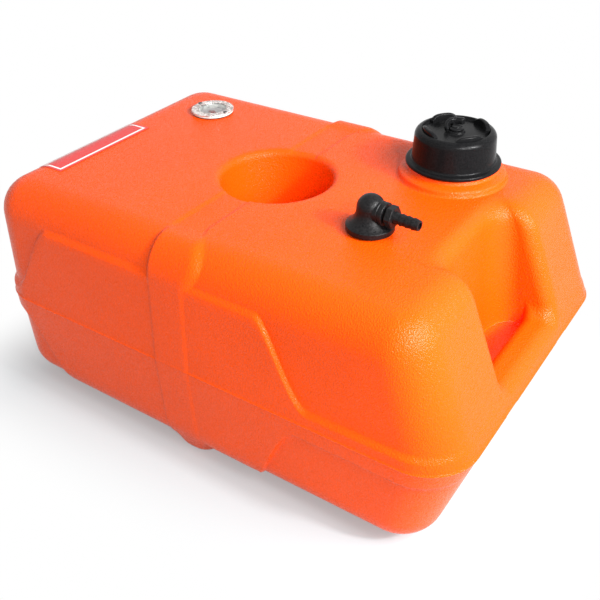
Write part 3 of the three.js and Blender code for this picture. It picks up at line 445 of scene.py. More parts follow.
def outline(height, half):
    """One side of the plan outline at each height, from the middle of the scoop's back wall round to the
    middle of the far end: x and y of straight stretches and arcs. Height has a row for each level and a
    column for each station."""
    inner_corner, nose_share = 0.57, 0.42
    bar = wall_out(height, BAR_OUT, half["bar_slope"], half)
    far = wall_out(height, FAR_OUT, FAR_SLOPE, half)
    side = wall_out(height, SIDE_OUT, half["side_slope"], half)
    corner = np.maximum(CORNER - (SIDE_OUT - side), LEAST_CORNER)
    over = np.clip(height - (half["reach"] - SCOOP_ROLL), 0, SCOOP_ROLL)
    roll = SCOOP_ROLL - np.sqrt(SCOOP_ROLL**2 - over**2)
    back = SCOOP_BACK - SCOOP_SLOPE * height - roll
    cheek = SCOOP_HALF + roll
    depth = bar - back
    hollow = np.minimum(SCOOP_CORNER, inner_corner * depth)
    nose = np.minimum(SCOOP_ROLL, nose_share * depth)
    gone, left = ALONG, 1 - ALONG

    def quarter(centre_x, centre_y, across, along, start, turn=90):
        """A quarter of an oval from a starting angle in degrees."""
        angle = np.radians(start + turn * gone)
        return centre_x + across * np.cos(angle), centre_y + along * np.sin(angle)

    stretches = (
        (back, (cheek - SCOOP_CORNER_ACROSS) * gone),
        quarter(back + hollow, cheek - SCOOP_CORNER_ACROSS, hollow, SCOOP_CORNER_ACROSS, 180, -90),
        ((back + hollow) * left + (bar - nose) * gone, cheek),
        quarter(bar - nose, cheek + nose, nose, nose, -90),
        (bar, (cheek + nose) * left + (side - corner) * gone),
        quarter(bar - corner, side - corner, corner, corner, 0),
        (long_side(bar - corner, corner - far), side),
        quarter(corner - far, side - corner, corner, corner, 90),
        (-far, (side - corner) * left),
    )
    return [np.choose(STRETCH, values) for values in zip(*stretches)]


def belt_proudness():
    """How proud the belt stands at each station: not at all in the scoop, little at the bar's end, and fully
    from the corner on."""
    rounding = PROUD + (BAR_END_PROUD - PROUD) * np.cos(np.radians(90 * ALONG))
    return np.choose(STRETCH, (0, 0, 0, BAR_END_PROUD * ALONG, BAR_END_PROUD, rounding, *(3 * [PROUD])))


def ledge_height(x, half):
    """Distance of the belt's ledge from the parting plane along the tank."""
    low, high = half["belt"]
    return low + (high - low) * np.minimum(smooth_share(x, *BELT_RISES), smooth_share(x, *half["belt_falls"]))


# Rows over the seam, the belt, the belt's ramp, the wall and the fillet.
LEVEL_STEPS = (3, 13, 8, 13, 12)


def levels(ledge, half):
    """Heights of the rows from the parting plane to the reach: crowded at the seam and at the ledge."""
    seam, belt, ramp, wall, bend = (shares(steps) for steps in LEVEL_STEPS)
    least_wall, least_bend, least_gap = 0.001, 0.0008, 0.0006
    reach, fillet = half["reach"], half["fillet"]
    lean = math.hypot(1, half["side_slope"])
    tangent = reach - fillet + fillet * half["side_slope"] / lean
    over = ledge + BELT_RAMP
    start = np.minimum(np.maximum(tangent, over + least_wall), reach - least_bend)
    over = np.minimum(over, start - least_gap)
    first = np.arcsin(np.clip((start - (reach - fillet)) / fillet, 0, 1))
    seam = 2 * SEAM_HALF * seam
    return np.concatenate([
        seam + 0 * ledge,
        seam[-1] + (ledge - seam[-1]) * belt,
        ledge + (over - ledge) * ramp,
        over + (start - over) * wall,
        reach - fillet + fillet * np.sin(first + (math.pi / 2 - first) * bend),
    ])


def normals_of(grid):
    """Unit normals of a grid whose columns close: the cross product of its two central differences."""
    along = np.roll(grid, -1, 1) - np.roll(grid, 1, 1)
    up = np.gradient(grid, axis=0)
    normal = np.cross(along, up)
    length = np.linalg.norm(normal, axis=-1, keepdims=True)
    return normal / np.maximum(length, 1e-12)


def both_sides(values, sign=1):
    """Rows of one side of the outline, then the other side's, back to the first."""
    return np.concatenate([values, sign * values[:, -2:0:-1]], 1)


def whole_ring(x, y, z):
    """Points of both sides of the outline, from those of the one with y above 0."""
    return points_at(both_sides(x), both_sides(y, -1), both_sides(z))


def body_wall(half, sign):
    """Wall rows of the upper or lower half of the body, from next to the parting plane to the reach.
    Returns the plain grid and how far the belt, band and seam stand proud of it."""
    ledge_soft, past_all, band_inset = 0.0005, 0.06, 0.012
    fillet = half["fillet"]
    at_parting = outline(np.zeros((1, OUTLINE_COUNT)), half)[0][0]
    ledge = ledge_height(at_parting, half)
    height = levels(ledge, half)
    x, y = outline(height, half)
    belt = belt_proudness() * (1 - smooth_share(height, ledge - ledge_soft, ledge + BELT_RAMP))
    rise = np.clip((height - half["reach"] + fillet) / fillet, 0, 1)
    past = fillet * (math.pi / 2 - np.arcsin(rise)) if sign > 0 else np.full_like(x, past_all)
    band = band_height(x, past) * (np.abs(y) > SIDE_OUT - fillet - band_inset)
    seam = SEAM_PROUD * (1 - smooth_share(height, 0, SEAM_HALF))
    offset = np.where(belt > 0, np.maximum(belt, band), band) + seam
    return whole_ring(x, y, PARTING + sign * height), both_sides(offset)


def band_height(x, past):
    """How far the band stands proud, at x and at a distance past the edge of the flat top. On the top it is a
    shallow channel; over the shoulder it rises, and its edge towards the bar flares out as 1 - t squared."""
    level = (BAND_PROUD + CHANNEL_DEPTH) * smooth_share(past, *BAND_RISES) - CHANNEL_DEPTH
    foot = BAND_RIGHT + BAND_FLARE * smooth_share(past, *BAND_FLARES)
    foot = foot - BAND_NARROWED * smooth_share(past, *BAND_NARROWS)
    ramp = FLARE_RAMP + FLARE_RAMP_MORE * smooth_share(past, *BAND_SOFTENS)
    left = smooth_share(x, BAND_LEFT - BAND_RAMP / 2, BAND_LEFT + BAND_RAMP / 2)
    right = 1 - np.clip((x - foot + ramp) / ramp, 0, 1) ** 2
    return level * left * right


def rim_angles(ring):
    """Angle round the well at which each station's row ends: half its own direction, half evenly spread, and
    turned away from the bar's end by a sine of twice the angle, so that the rows pass beside the scoop."""
    direction = np.arctan2(ring[:OUTLINE_COUNT, 1], ring[:OUTLINE_COUNT, 0] - WELL_X)
    half = 0.5 * np.maximum.accumulate(direction) + 0.5 * np.linspace(0, math.pi, OUTLINE_COUNT)
    half = half + RIM_TURN * np.sin(2 * np.minimum(half, math.pi / 2))
    return np.concatenate([half, 2 * math.pi - half[-2:0:-1]])


def top_and_well(ring):
    """Rows from the edge of the top in to the well's rim, over its lip, down its wall and over its floor.
    Returns both grids and how far each is lifted."""
    top_rows, wall_rows, floor_rows, channel_fade = 30, 14, 3, 0.006
    rim = WELL_RADIUS + WELL_LIP
    angle = rim_angles(ring)
    share = shares(top_rows)
    x = ring[:, 0] * (1 - share) + (WELL_X + rim * np.cos(angle)) * share
    y = ring[:, 1] * (1 - share) + rim * np.sin(angle) * share
    plane = points_at(x, y, TOP)
    edge = wall_out(UPPER["reach"], SIDE_OUT, UPPER["side_slope"], UPPER)
    lift = band_height(x, np.abs(y) - edge)
    floor = TOP - WELL_DEPTH
    low = WELL_FLOOR_RADIUS - WELL_FLOOR_ROUND
    lip = arc((rim, TOP - WELL_LIP), WELL_LIP, 90, 180, 7)[1:]
    foot = arc((low, floor + WELL_FLOOR_ROUND), WELL_FLOOR_ROUND, -4, -90, 6)
    wall = lip[-1] + (foot[0] - lip[-1]) * shares(wall_rows, wall_rows + 1)
    inward = low * (1 - shares(floor_rows, floor_rows + 1))
    profile = np.concatenate([lip, wall, foot, np.concatenate([inward, 0 * inward + floor], 1)])
    radius, height = profile[:, :1], profile[:, 1:]
    well = round_grid(radius, angle, height, (WELL_X, 0))
    return plane, lift, well, lift[-1] * (1 - smooth_share(TOP - height, 0, channel_fade))


def foot_floor(x, y):
    """Height of the feet's underside: 0 inside a foot's rounded outline, rising steeply outside it."""
    no_foot = 1.0
    least = np.full(x.shape, no_foot)
    for middle, half_width in FEET:
        dx = np.abs(x - middle) - (FOOT_HALF_LENGTH - FOOT_CORNER)
        dy = np.abs(y) - (half_width - FOOT_CORNER)
        outside = np.hypot(np.maximum(dx, 0), np.maximum(dy, 0)) + np.minimum(np.maximum(dx, dy), 0)
        outside = outside - FOOT_CORNER
        rise = (PARTING - LOWER["reach"] + FOOT_SUNK) * smooth_share(outside, 0, FOOT_FLARE)
        least = np.minimum(least, np.where(outside < FOOT_FLARE, rise, no_foot))
    return least


def body_grids():
    """The body before anything is raised on it, as one grid from the middle of the underside to the middle of
    the well's floor, its normals, and the outer skin with the belt, band and feet."""
    under_rows = 16
    upper, upper_off = body_wall(UPPER, 1)
    lower, lower_off = body_wall(LOWER, -1)
    x, y = outline(np.zeros((1, OUTLINE_COUNT)), UPPER)
    middle = whole_ring(x, y, PARTING + 0 * x)
    middle_off = both_sides(belt_proudness()[None]) + SEAM_PROUD
    plane, plane_lift, well, well_lift = top_and_well(upper[-1])
    share = shares(under_rows, under_rows + 1)
    ring = lower[-1]
    under_x = WELL_X + (ring[:, 0] - WELL_X) * (1 - share)
    under = points_at(under_x, ring[:, 1] * (1 - share), PARTING - LOWER["reach"])
    plain = np.concatenate([under[::-1], lower[::-1], middle, upper, plane, well])
    offset = np.concatenate([
        0 * under[..., 0], lower_off[::-1], middle_off, upper_off, plane_lift, 0 * well_lift,
    ])
    normal = normals_of(plain)
    if normal[len(under) + len(lower), 0, 0] < 0:
        normal = -normal
    skin = plain + normal * offset[..., None]
    skin[-len(well):, :, 2] += well_lift
    low = skin[:len(under) + len(lower)]
    low[..., 2] = np.minimum(low[..., 2], foot_floor(low[..., 0], low[..., 1]))
    return plain, normal, skin


def cut(piece, cutter):
    """Takes the cutter's volume out of the piece, and removes the cutter."""
    modifier = piece.modifiers.new("bores", "BOOLEAN")
    modifier.operation = "DIFFERENCE"
    modifier.solver = "MANIFOLD"
    modifier.object = cutter
    bpy.context.view_layer.update()
    evaluated = piece.evaluated_get(bpy.context.evaluated_depsgraph_get())
    dressed = bpy.data.meshes.new_from_object(evaluated)
    piece.modifiers.clear()
    old = piece.data
    piece.data = dressed
    bpy.data.meshes.remove(old)
    bpy.data.objects.remove(cutter)
    piece.data.name = piece.name


def bar_outer(height):
    """Outer face of the bar at a height from the parting plane: the end wall's slopes, with the seam at 0."""
    slope = np.where(height > 0, UPPER["bar_slope"], LOWER["bar_slope"])
    away = np.abs(height)
    ledge = UPPER["belt"][0]
    belt = BAR_END_PROUD * (1 - smooth_share(away, ledge, ledge + BELT_RAMP))
    return BAR_OUT - slope * away + belt + SEAM_PROUD * (1 - smooth_share(away, 0, SEAM_HALF))


def bar_path():
    """Path of the bar's upper face from the middle: level, up round a quarter circle, and up the cheek, into
    which it sinks a little. Gives y, height, and how far the quarter circle has turned."""
    centre = SCOOP_HALF - BAR_BLEND
    level = np.linspace(0, centre, 12)[:-1]
    bend = np.radians(np.linspace(0, 90, 13))
    climb = np.array([0.002, 0.005, 0.009])
    angle = np.concatenate([0 * level, bend, 0 * climb + math.pi / 2])
    y = np.concatenate([level, centre + BAR_BLEND * np.sin(bend), 0 * climb + SCOOP_HALF])
    height = BAR_HALF + np.concatenate([0 * level, BAR_BLEND * (1 - np.cos(bend)), BAR_BLEND + climb])
    sink = np.concatenate([0 * level, -0.00012 * np.sin(bend), [0.0001, 0.0004, 0.0009]])
    return y + sink * np.sin(angle), height - sink * np.cos(angle), angle


def bar_skin():
    """The hand bar: half sections above and below the parting plane, carried along the bar and up both
    cheeks. A half section runs from the inner face over a round of 9 mm, across the face, and down a round of
    10 to 13 mm to the outer face, which lies in the end wall."""
    y, height, angle = bar_path()
    round_in, round_out, end_sink = 0.009, 0.010 + 0.003 * np.sin(angle), 0.0003
    near = np.array([1, 0.93, 0.86, 0.6, 0.3])[:, None]
    bend = np.radians(np.linspace(0, 90, 9))[:, None]
    flat = shares(3, 4)
    path = np.stack([y, height])[:, None]
    into = np.stack([np.sin(angle), -np.cos(angle)])[:, None]
    end_y = SCOOP_HALF - BAR_BLEND + (BAR_BLEND + BAR_HALF) * np.sin(angle)
    end = np.stack([np.where(angle > 0, end_y, y), 0 * y])[:, None]
    inner = BAR_FROM - BAR_BLEND * (1 - np.cos(angle))
    corner, roll = path + into * round_in, path + into * round_out
    rise = path + into * round_in * (1 - np.sin(bend))
    over = path + into * round_out * (1 - np.cos(bend))
    out = roll + (end - roll) * near[::-1]
    inner_rows = corner + (end - corner) * near
    out_y, out_height = np.concatenate([inner_rows, rise, path + 0 * flat, over, out], 1)
    rise_x = inner + round_in * (1 - np.cos(bend))
    grids = []
    for sign, half in ((1, UPPER), (-1, LOWER)):
        wall = bar_outer(sign * roll[1])
        over_x = wall - round_out * (1 - np.sin(bend)) - half["bar_slope"] * (over[1] - roll[1])
        flat_x = rise_x[-1] * (1 - flat) + over_x[0] * flat
        out_x = bar_outer(sign * out[1]) - end_sink * (angle > 0) * near[::-1]
        x = np.concatenate([inner + 0 * near, rise_x, flat_x, over_x, out_x])
        grid = points_at(x, out_y, PARTING + sign * out_height)
        grids.append(grid if sign > 0 else grid[::-1][1:-1])
    side = np.concatenate(grids).transpose(1, 0, 2)
    other = side[:0:-1] * np.array([1, -1, 1])
    return skin_arrays(np.concatenate([other, side]))


def neck_skin():
    """Collar and neck: one closed profile carried round the neck's axis."""
    bore, collar, neck, base, top = 0.027, 0.0545, 0.0315, -0.003, 0.036
    profile = rounded([
        (bore, base), (collar, base), (collar, -0.0002), (0.0500, -0.0002, 0.003),
        (0.0486, 0.0052, 0.003), (0.0415, 0.0078, 0.0015), (0.0400, 0.0105), (neck, 0.0105),
        (neck, top, 0.0008), (bore, top, 0.0008), (bore, base),
    ], 6)
    profile[:, 1] += TOP
    return lathe(profile[:-1], 128, NECK, closed=True)


# Cap and vent

def cap_skins():
    """Skirt, flange and top plate in one profile, and the four lobes on the plate."""
    flange, skirt, rim, inner, bore = 0.0433, 0.0374, 0.0296, 0.0323, 0.0033
    foot, thick, top, ceiling, plate, hub = 0.0122, 0.0032, 0.0440, 0.0388, 0.0412, 0.0433
    outer = rounded([
        (inner, foot), (flange, foot, 0.0014), (flange, foot + thick, 0.0016),
        (skirt + 0.0006, foot + thick + 0.0006, 0.0022), (skirt - 0.0012, top, 0.0062),
        (rim + 0.0008, top, 0.0008), (rim, plate, 0.0006), (0.0085, plate, 0.0008), (0.0078, hub, 0.0006),
        (bore, hub), (bore, ceiling), (inner, ceiling), (inner, foot),
    ], 7)
    outer[:, 1] += TOP
    lobes = [lobe_skin(math.radians(50 + 90 * k), TOP + plate) for k in range(4)]
    return [lathe(outer[:-1], 128, NECK, closed=True), *lobes]


def lobe_skin(middle, foot):
    """A low arched wall that follows the plate's rim: a rounded section carried along an arc, lower towards
    its ends by the fourth power of the way there."""
    half, droop = math.radians(27), 0.62
    low, inside, top, outside = -0.001, 0.0258, 0.0064, 0.0298
    section = rounded([
        (inside, low), (inside, top, 0.0011), (outside, top, 0.0013), (outside, low),
    ])
    radius, rise = section.T
    share = np.linspace(-1, 1, 25)[:, None]
    height = rise * np.where(rise > 0, 1 - droop * np.abs(share) ** 4, 1)
    return skin_arrays(round_grid(radius, middle + half * share, foot + height, NECK))


def beside_line(x, y, heading, across, height):
    """A skin of sections along a line on the vent's head, each at right angles to the line's heading."""
    side_x, side_y = -np.sin(heading) * across, np.cos(heading) * across
    return skin_arrays(points_at(NECK[0] + x + side_x, NECK[1] + y + side_y, height))


def vent_skins():
    """Stem and round head in one profile, the finger grip, and the round spoke that holds it. The grip is an
    oval section that thickens along a curl whose radius grows with its angle."""
    foot, bottom, stem, head = TOP + 0.0436, TOP + 0.0348, 0.003, 0.0066
    profile = rounded([
        (0, bottom), (stem, bottom, 0.0003), (stem, foot), (head, foot, 0.0006),
        (head, foot + 0.0014, 0.0008), (0.0042, foot + 0.0020, 0.001), (0.0038, foot + 0.0030, 0.001),
        (0, foot + 0.0032),
    ], 4)
    share = np.linspace(0, 1, 61)[:, None]
    turn = np.radians(238 - 162 * share)
    reach = 0.0086 + 0.0030 * share**2
    x, y = reach * np.cos(turn), reach * np.sin(turn)
    heading = np.arctan2(np.gradient(y, axis=0), np.gradient(x, axis=0))
    around = np.radians(np.linspace(0, 360, 24, endpoint=False))
    wide, high = (np.sign(wave) * np.abs(wave) ** 0.75 for wave in (np.cos(around), np.sin(around)))
    ends = np.sqrt(np.clip(1 - np.abs(2 * share - 1) ** 12, 0.03, 1))
    half = (0.0018 + 0.0016 * smooth_share(share, 0.45, 1)) * ends
    tall = (0.0024 + 0.0008 * smooth_share(share, 0, 0.5)) * (0.6 + 0.4 * ends)
    climb = foot + 0.0007 + 0.0030 * smooth_share(share, 0, 0.6)
    spoke_turn, spoke, spoke_height = math.radians(140), 0.0016, 0.0019
    out = np.linspace(0.0030, 0.0090, 25)[:, None]
    return [
        lathe(profile[1:-1], 48, NECK),
        beside_line(x, y, heading, half * wide, climb + tall * high),
        beside_line(
            out * math.cos(spoke_turn), out * math.sin(spoke_turn), spoke_turn,
            spoke * np.cos(around), foot + spoke_height + spoke * np.sin(around),
        ),
    ]


# Pick-up

# The elbow's upright axis, and the tail's, which an upright skin is laid down along.
ELBOW_SHIFT = (0.0014, -0.0020)
TAIL_HEIGHT = 0.0190
ELBOW_PLACE = Matrix.Translation((ELBOW[0] + ELBOW_SHIFT[0], ELBOW[1] + ELBOW_SHIFT[1], TOP)) \
    @ Matrix.Rotation(ELBOW_TURN, 4, "Z")
TAIL_PLACE = ELBOW_PLACE @ Matrix.Translation((0, 0, TAIL_HEIGHT)) @ Matrix.Rotation(math.pi / 2, 4, "Y")


def elbow_skins():
    """Flanged bell and dome in one profile, and the boss that the tail screws into. The bell's radius falls
    from the flange to the waist as the power 2.5 of what is left of its height."""
    waist, edge, bottom, top, crown = 0.0118, 0.0192, 0.0072, 0.0212, 0.0328
    spigot, under, ledge = 0.008, -0.014, 0.0017
    low = rounded([
        (0, under), (spigot, under), (spigot, ledge), (0.0204, ledge, 0.0004),
        (0.0206, bottom - 0.0008, 0.0008), (edge, bottom),
    ], 4)
    share = np.linspace(0, 1, 18)[:, None]
    bell = np.concatenate([waist + (edge - waist) * (1 - share) ** 2.5, bottom + (top - bottom) * share], 1)
    dome = arc((0, 0), 1, 4, 90, 12)[:-1] * [waist, crown - top] + [0, top]
    profile = np.concatenate([low[1:-1], bell, dome, [[0.0004, crown]]])
    side, groove, end, socket, depth = 0.0100, 0.0092, 0.0155, 0.0052, 0.006
    boss = rounded([
        (0, 0), (side, 0), (side, 0.0105, 0.0004), (groove, 0.0112, 0.0004), (side, 0.0119, 0.0004),
        (side, end, 0.0008), (socket, end), (socket, depth), (0, depth),
    ], 4)
    return [placed(lathe(profile), ELBOW_PLACE), placed(lathe(boss[1:-1], 64), TAIL_PLACE)]


def tail_skins():
    """Barbed tail in one profile, and its six-sided nut: a round whose radius is the smaller of a hexagon's
    and of one that softens the hexagon's corners."""
    tip, pitch, count = 0.046, 0.0056, 4
    bore, plug, neck, barb, root = 0.0027, 0.0048, 0.0041, 0.0052, 0.0043
    first = tip - count * pitch
    stem = [(bore, 0.0075), (plug, 0.0075), (plug, 0.0185), (neck, 0.0190), (neck, first)]
    for k in range(count):
        stem += [(barb, first + k * pitch), (root, first + (k + 1) * pitch - 0.0002)]
    stem.append((bore, tip))
    flat, corner, sixth = 0.0085, 0.0095, math.pi / 3
    angle = np.linspace(0, 2 * math.pi, 96, endpoint=False)
    side = flat / np.cos((angle + sixth / 2) % sixth - sixth / 2)
    share = np.array([0.5, 0.93, 1, 1, 0.93, 0.5])[:, None]
    height = np.array([0.0175, 0.0175, 0.0181, 0.0229, 0.0235, 0.0235])[:, None]
    nut = round_grid(np.minimum(share * side, corner * share**2), angle, height)
    skins = lathe(np.array(stem), 64, closed=True), skin_arrays(nut)
    return [placed(skin, TAIL_PLACE) for skin in skins]


# Gauge

def bezel_skin():
    """Bright ring round the lens: a rounded section with fine ribs round its outside."""
    foot, top, outside, seat, rib_size = TOP + 0.0030, TOP + 0.0048, 0.0229, 0.0169, 0.00022
    profile = rounded([
        (seat, foot), (outside, foot, 0.0005), (outside, top, 0.0008), (0.0150, top, 0.0004),
        (0.0149, top - 0.0005), (seat, top - 0.0005), (seat, foot),
    ])[:-1]
    angle = np.linspace(0, 2 * math.pi, 288, endpoint=False)
    radius, height = profile[:, :1], profile[:, 1:]
    risen = smooth_share(height, foot, top)
    rib = rib_size * np.cos(48 * angle) * smooth_share(radius, 0.0165, 0.0205) * risen
    height = height + 0.8 * rib - 0.0002 * risen
    return skin_arrays(round_grid(radius - np.abs(rib), angle, height, GAUGE), True)


def lens_skin():
    """Thin clear cover with a low dome."""
    foot, rim, rise, outside, inside = TOP + 0.0030, TOP + 0.0039, 0.0010, 0.0167, 0.0158
    share = np.linspace(0, 1, 12)
    dome = np.stack([0.0161 * (1 - share), rim + rise * (1 - (1 - share) ** 2)], 1)
    under = np.stack([inside * share, TOP + 0.0041 - rise * share**2], 1)
    wall = [[inside, foot], [outside, foot], [outside, rim]]
    return lathe(np.concatenate([under[1:], wall, dome[:-1]]), 96, GAUGE)


def screw_skin(side):
    """Small round-headed screw beside the lens, with a dent in the middle of its head."""
    out, angle = 0.0197, math.radians(-8 + 180 * side)
    centre = (GAUGE[0] + out * math.cos(angle), GAUGE[1] + out * math.sin(angle))
    tip, shank, head, seat, dent = TOP - 0.0024, 0.0011, 0.0023, TOP + 0.0049, TOP + 0.0051
    profile = rounded([
        (0, tip), (shank, tip, 0.0003), (shank, seat), (head, seat, 0.0002),
        (0.0022, TOP + 0.0055, 0.0005), (0.0008, TOP + 0.0057, 0.0003), (0.0004, dent, 0.0002), (0, dent),
    ], 3)
    return lathe(profile[1:-1], 32, centre)


def add_label(material):
    """Thin printed strip that follows the rolled edge at the far end, and its UV map: u runs along the strip
    and v down it."""
    near, length, width, over_edge, gap, thick = -0.1035, 0.122, 0.031, 0.0158, 0.00015, 0.00025
    along = np.linspace(near, near + length, 49)
    start = float(wall_out(UPPER["reach"], FAR_OUT, FAR_SLOPE, UPPER))
    arc_at = np.linspace(-over_edge, width - over_edge, 19)[:, None]
    angle = np.clip(arc_at, 0, None) / UPPER["fillet"]
    grids = []
    for lift in (gap, gap + thick):
        out = start + np.minimum(arc_at, 0) + (UPPER["fillet"] + lift) * np.sin(angle)
        rise = TOP - UPPER["fillet"] + (UPPER["fillet"] + lift) * np.cos(angle)
        grids.append(points_at(-out, along, rise))
    low, high = grids
    rows, columns = low.shape[:2]
    points = np.concatenate([high.reshape(-1, 3), low.reshape(-1, 3)])
    index = np.arange(rows * columns).reshape(rows, columns)
    top = np.stack([index[:-1, :-1], index[:-1, 1:], index[1:, 1:], index[1:, :-1]], -1).reshape(-1, 4)
    border = np.concatenate([index[0, :-1], index[:-1, -1], index[-1, :0:-1], index[:0:-1, 0]])
    ahead = np.roll(border, -1)
    under = rows * columns
    sides = np.stack([ahead, border, border + under, ahead + under], -1)
    quads = np.concatenate([top, top[:, ::-1] + under, sides])
    mesh = add_piece("red_label", [facing_out(points, quads)], material, "tank", sharp=60).data
    u = np.tile(np.linspace(0, 1, columns), rows)
    v = np.repeat(np.linspace(0, 1, rows), columns)
    uv = np.tile(np.stack([u, v], 1), (2, 1))
    layer = mesh.uv_layers.new(name="strip")
    loops = np.zeros(len(mesh.loops), np.int32)
    mesh.loops.foreach_get("vertex_index", loops)
    layer.data.foreach_set("uv", uv[loops].astype(np.float32).ravel())


# Settings

class TankLooks(bpy.types.PropertyGroup):
    orange: FloatVectorProperty(
        name="Body colour", description="Colour of the moulded body", subtype="COLOR",
        default=(0.92, 0.075, 0.0012), min=0, max=1)
    black: FloatVectorProperty(
        name="Cap colour", description="Colour of the cap and the pick-up", subtype="COLOR",
        default=(0.003, 0.003, 0.0033), min=0, max=1)
    label: FloatVectorProperty(
        name="Label colour", description="Colour of the printed strip", subtype="COLOR",
        default=(0.62, 0.02, 0.018), min=0, max=1)
    grain_scale: FloatProperty(
        name="Grain", description="Cells of the body's grain to the metre", default=850, min=50)
    grain_strength: FloatProperty(
        name="Grain depth", description="Strength of the body's grain", subtype="FACTOR",
        default=0.5, min=0, max=1)


class TankStage(bpy.types.PropertyGroup):
    camera_place: FloatVectorProperty(
        name="Camera", description="Place of the camera", subtype="TRANSLATION", unit="LENGTH",
        default=(0.38858, -0.55187, 0.55990))
    camera_turn: FloatProperty(
        name="Azimuth", description="Turn of the camera round the upright axis", subtype="ANGLE",
        default=math.radians(34.8135))
    camera_rise: FloatProperty(
        name="Elevation", description="Angle that the camera looks down by", subtype="ANGLE",
        default=math.radians(34.8773))
    camera_roll: FloatProperty(
        name="Roll", description="Turn of the camera about its own axis", subtype="ANGLE",
        default=math.radians(1.3052))
    lens: FloatProperty(
        name="Lens", description="Focal length for a sensor 36 mm wide", subtype="DISTANCE_CAMERA",
        default=48.70)


# Operators

class MakeTankBody(bpy.types.Operator):
    """Make the moulded body with its hand bar and neck"""
    bl_idname = "fuel_tank.body"
    bl_label = "Tank body"

    def execute(self, context):
        material = orange_plastic(context.scene.tank_looks)
        plain, normal, skin = body_grids()
        points, quads, triangles = skin_arrays((plain - normal * WALL)[::INNER_STEP, ::INNER_STEP])
        inner = (points, quads[:, ::-1], triangles[:, ::-1])
        body = add_piece(
            "tank_body", [skin_arrays(skin), inner], material, "tank", ["tank_shell"])
        bores = [
            lathe(np.array([[radius, TOP - BORE_REACH], [radius, TOP + BORE_REACH]]), 64, centre)
            for radius, centre in BORES
        ]
        cut(body, add_piece("bore_cutter", bores, material, "tank"))
        add_piece("hand_bar", [bar_skin()], material, "tank", sharp=50)
        add_piece("filler_neck", [neck_skin()], material, "tank")
        return {"FINISHED"}


class MakeFillerCap(bpy.types.Operator):
    """Make the filler cap and its vent screw"""
    bl_idname = "fuel_tank.cap"
    bl_label = "Filler cap"

    def execute(self, context):
        colour = context.scene.tank_looks.black
        black = black_plastic("cap_black", colour, 0.07, (0.16, 0.24), 1100, 0.30)
        add_piece("screw_cap", cap_skins(), black, "cap", ["filler_cap"])
        add_piece("vent_wing", vent_skins(), black, "vent_knob", ["vent_screw"])
        return {"FINISHED"}


class MakePickUp(bpy.types.Operator):
    """Make the elbow and its barbed tail"""
    bl_idname = "fuel_tank.pick_up"
    bl_label = "Pick-up"

    def execute(self, context):
        colour = context.scene.tank_looks.black
        satin = black_plastic("pick_up_black", colour, 0.16, (0.24, 0.52), 650, 0.55)
        add_piece("elbow", elbow_skins(), satin, "tank", ["pickup_elbow"])
        add_piece("barbed_tail", tail_skins(), satin, "tank", ["hose_tail"], 25)
        return {"FINISHED"}


class MakeGauge(bpy.types.Operator):
    """Make the gauge's ring, lens and screws"""
    bl_idname = "fuel_tank.gauge"
    bl_label = "Gauge"

    def execute(self, context):
        steel = plain_finish("screw_steel", (0.12, 0.11, 0.11), 0.35, 0.9)
        add_piece("gauge_ring", [bezel_skin()], crinkled_rim(), "tank", ["gauge_bezel"])
        add_piece("lens", [lens_skin()], clear_plastic(), "tank", ["gauge_lens"])
        add_piece("screw_head_right", [screw_skin(0)], steel, "tank", ["gauge_screw_right"])
        add_piece("screw_head_left", [screw_skin(1)], steel, "tank", ["gauge_screw_left"])
        return {"FINISHED"}


class MakeLabel(bpy.types.Operator):
    """Make the plain red strip at the far end"""
    bl_idname = "fuel_tank.label"
    bl_label = "Label"

    def execute(self, context):
        add_label(label_red(context.scene.tank_looks))
        return {"FINISHED"}


class DressSolids(bpy.types.Operator):
    """Give the solids that stay visible their own finishes"""
    bl_idname = "fuel_tank.solids"
    bl_label = "Inner solids"

    def execute(self, context):
        finishes = {
            ("seal_rubber", (0.02, 0.02, 0.02), 0.7):
                ("cap_gasket", "vent_seal", "pickup_gasket", "tail_seal", "gauge_gasket"),
            ("insert_brass", (0.70, 0.50, 0.22), 0.3, 1.0): ("pickup_insert", "gauge_stem"),
            ("natural_white", (0.74, 0.74, 0.70), 0.45):
                ("dip_tube", "dip_strainer", "gauge_housing", "guide_foot", "float_follower"),
            ("dial_grey", (0.46, 0.43, 0.43), 0.5): ("gauge_dial",),
            ("pointer_red", (0.30, 0.05, 0.04), 0.4): ("gauge_pointer",),
            ("guide_steel", (0.55, 0.55, 0.55), 0.3, 1.0): ("guide_rod_near", "guide_rod_back"),
            ("float_foam", (0.05, 0.05, 0.05), 0.8): ("float",),
            ("baffle_black", (0.015, 0.015, 0.016), 0.4): ("vent_baffle",),
        }
        for finish, names in finishes.items():
            material = plain_finish(*finish)
            for name in names:
                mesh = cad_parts[name].data
                mesh.materials.clear()
                mesh.materials.append(material)
        return {"FINISHED"}


def area_light(name, place, aim, size, power):
    """A soft oblong lamp at a place, turned to its aim."""
    data = bpy.data.lights.new(name, "AREA")
    data.shape = "RECTANGLE"
    data.size, data.size_y = size
    data.energy = power
    lamp = bpy.data.objects.new(name, data)
    lamp.location = place
    lamp.rotation_euler = (Vector(aim) - Vector(place)).to_track_quat("-Z", "Y").to_euler()
    bpy.context.scene.collection.objects.link(lamp)


def rays_that_see(tree):
    """1 for the camera's rays and for those in reflections and through clear pieces, 0 for the rest."""
    rays = add_node(tree, "LightPath").outputs
    direct = maths(tree, "MAXIMUM", rays["Is Camera Ray"], rays["Is Glossy Ray"])
    return maths(tree, "MAXIMUM", direct, rays["Is Transmission Ray"])


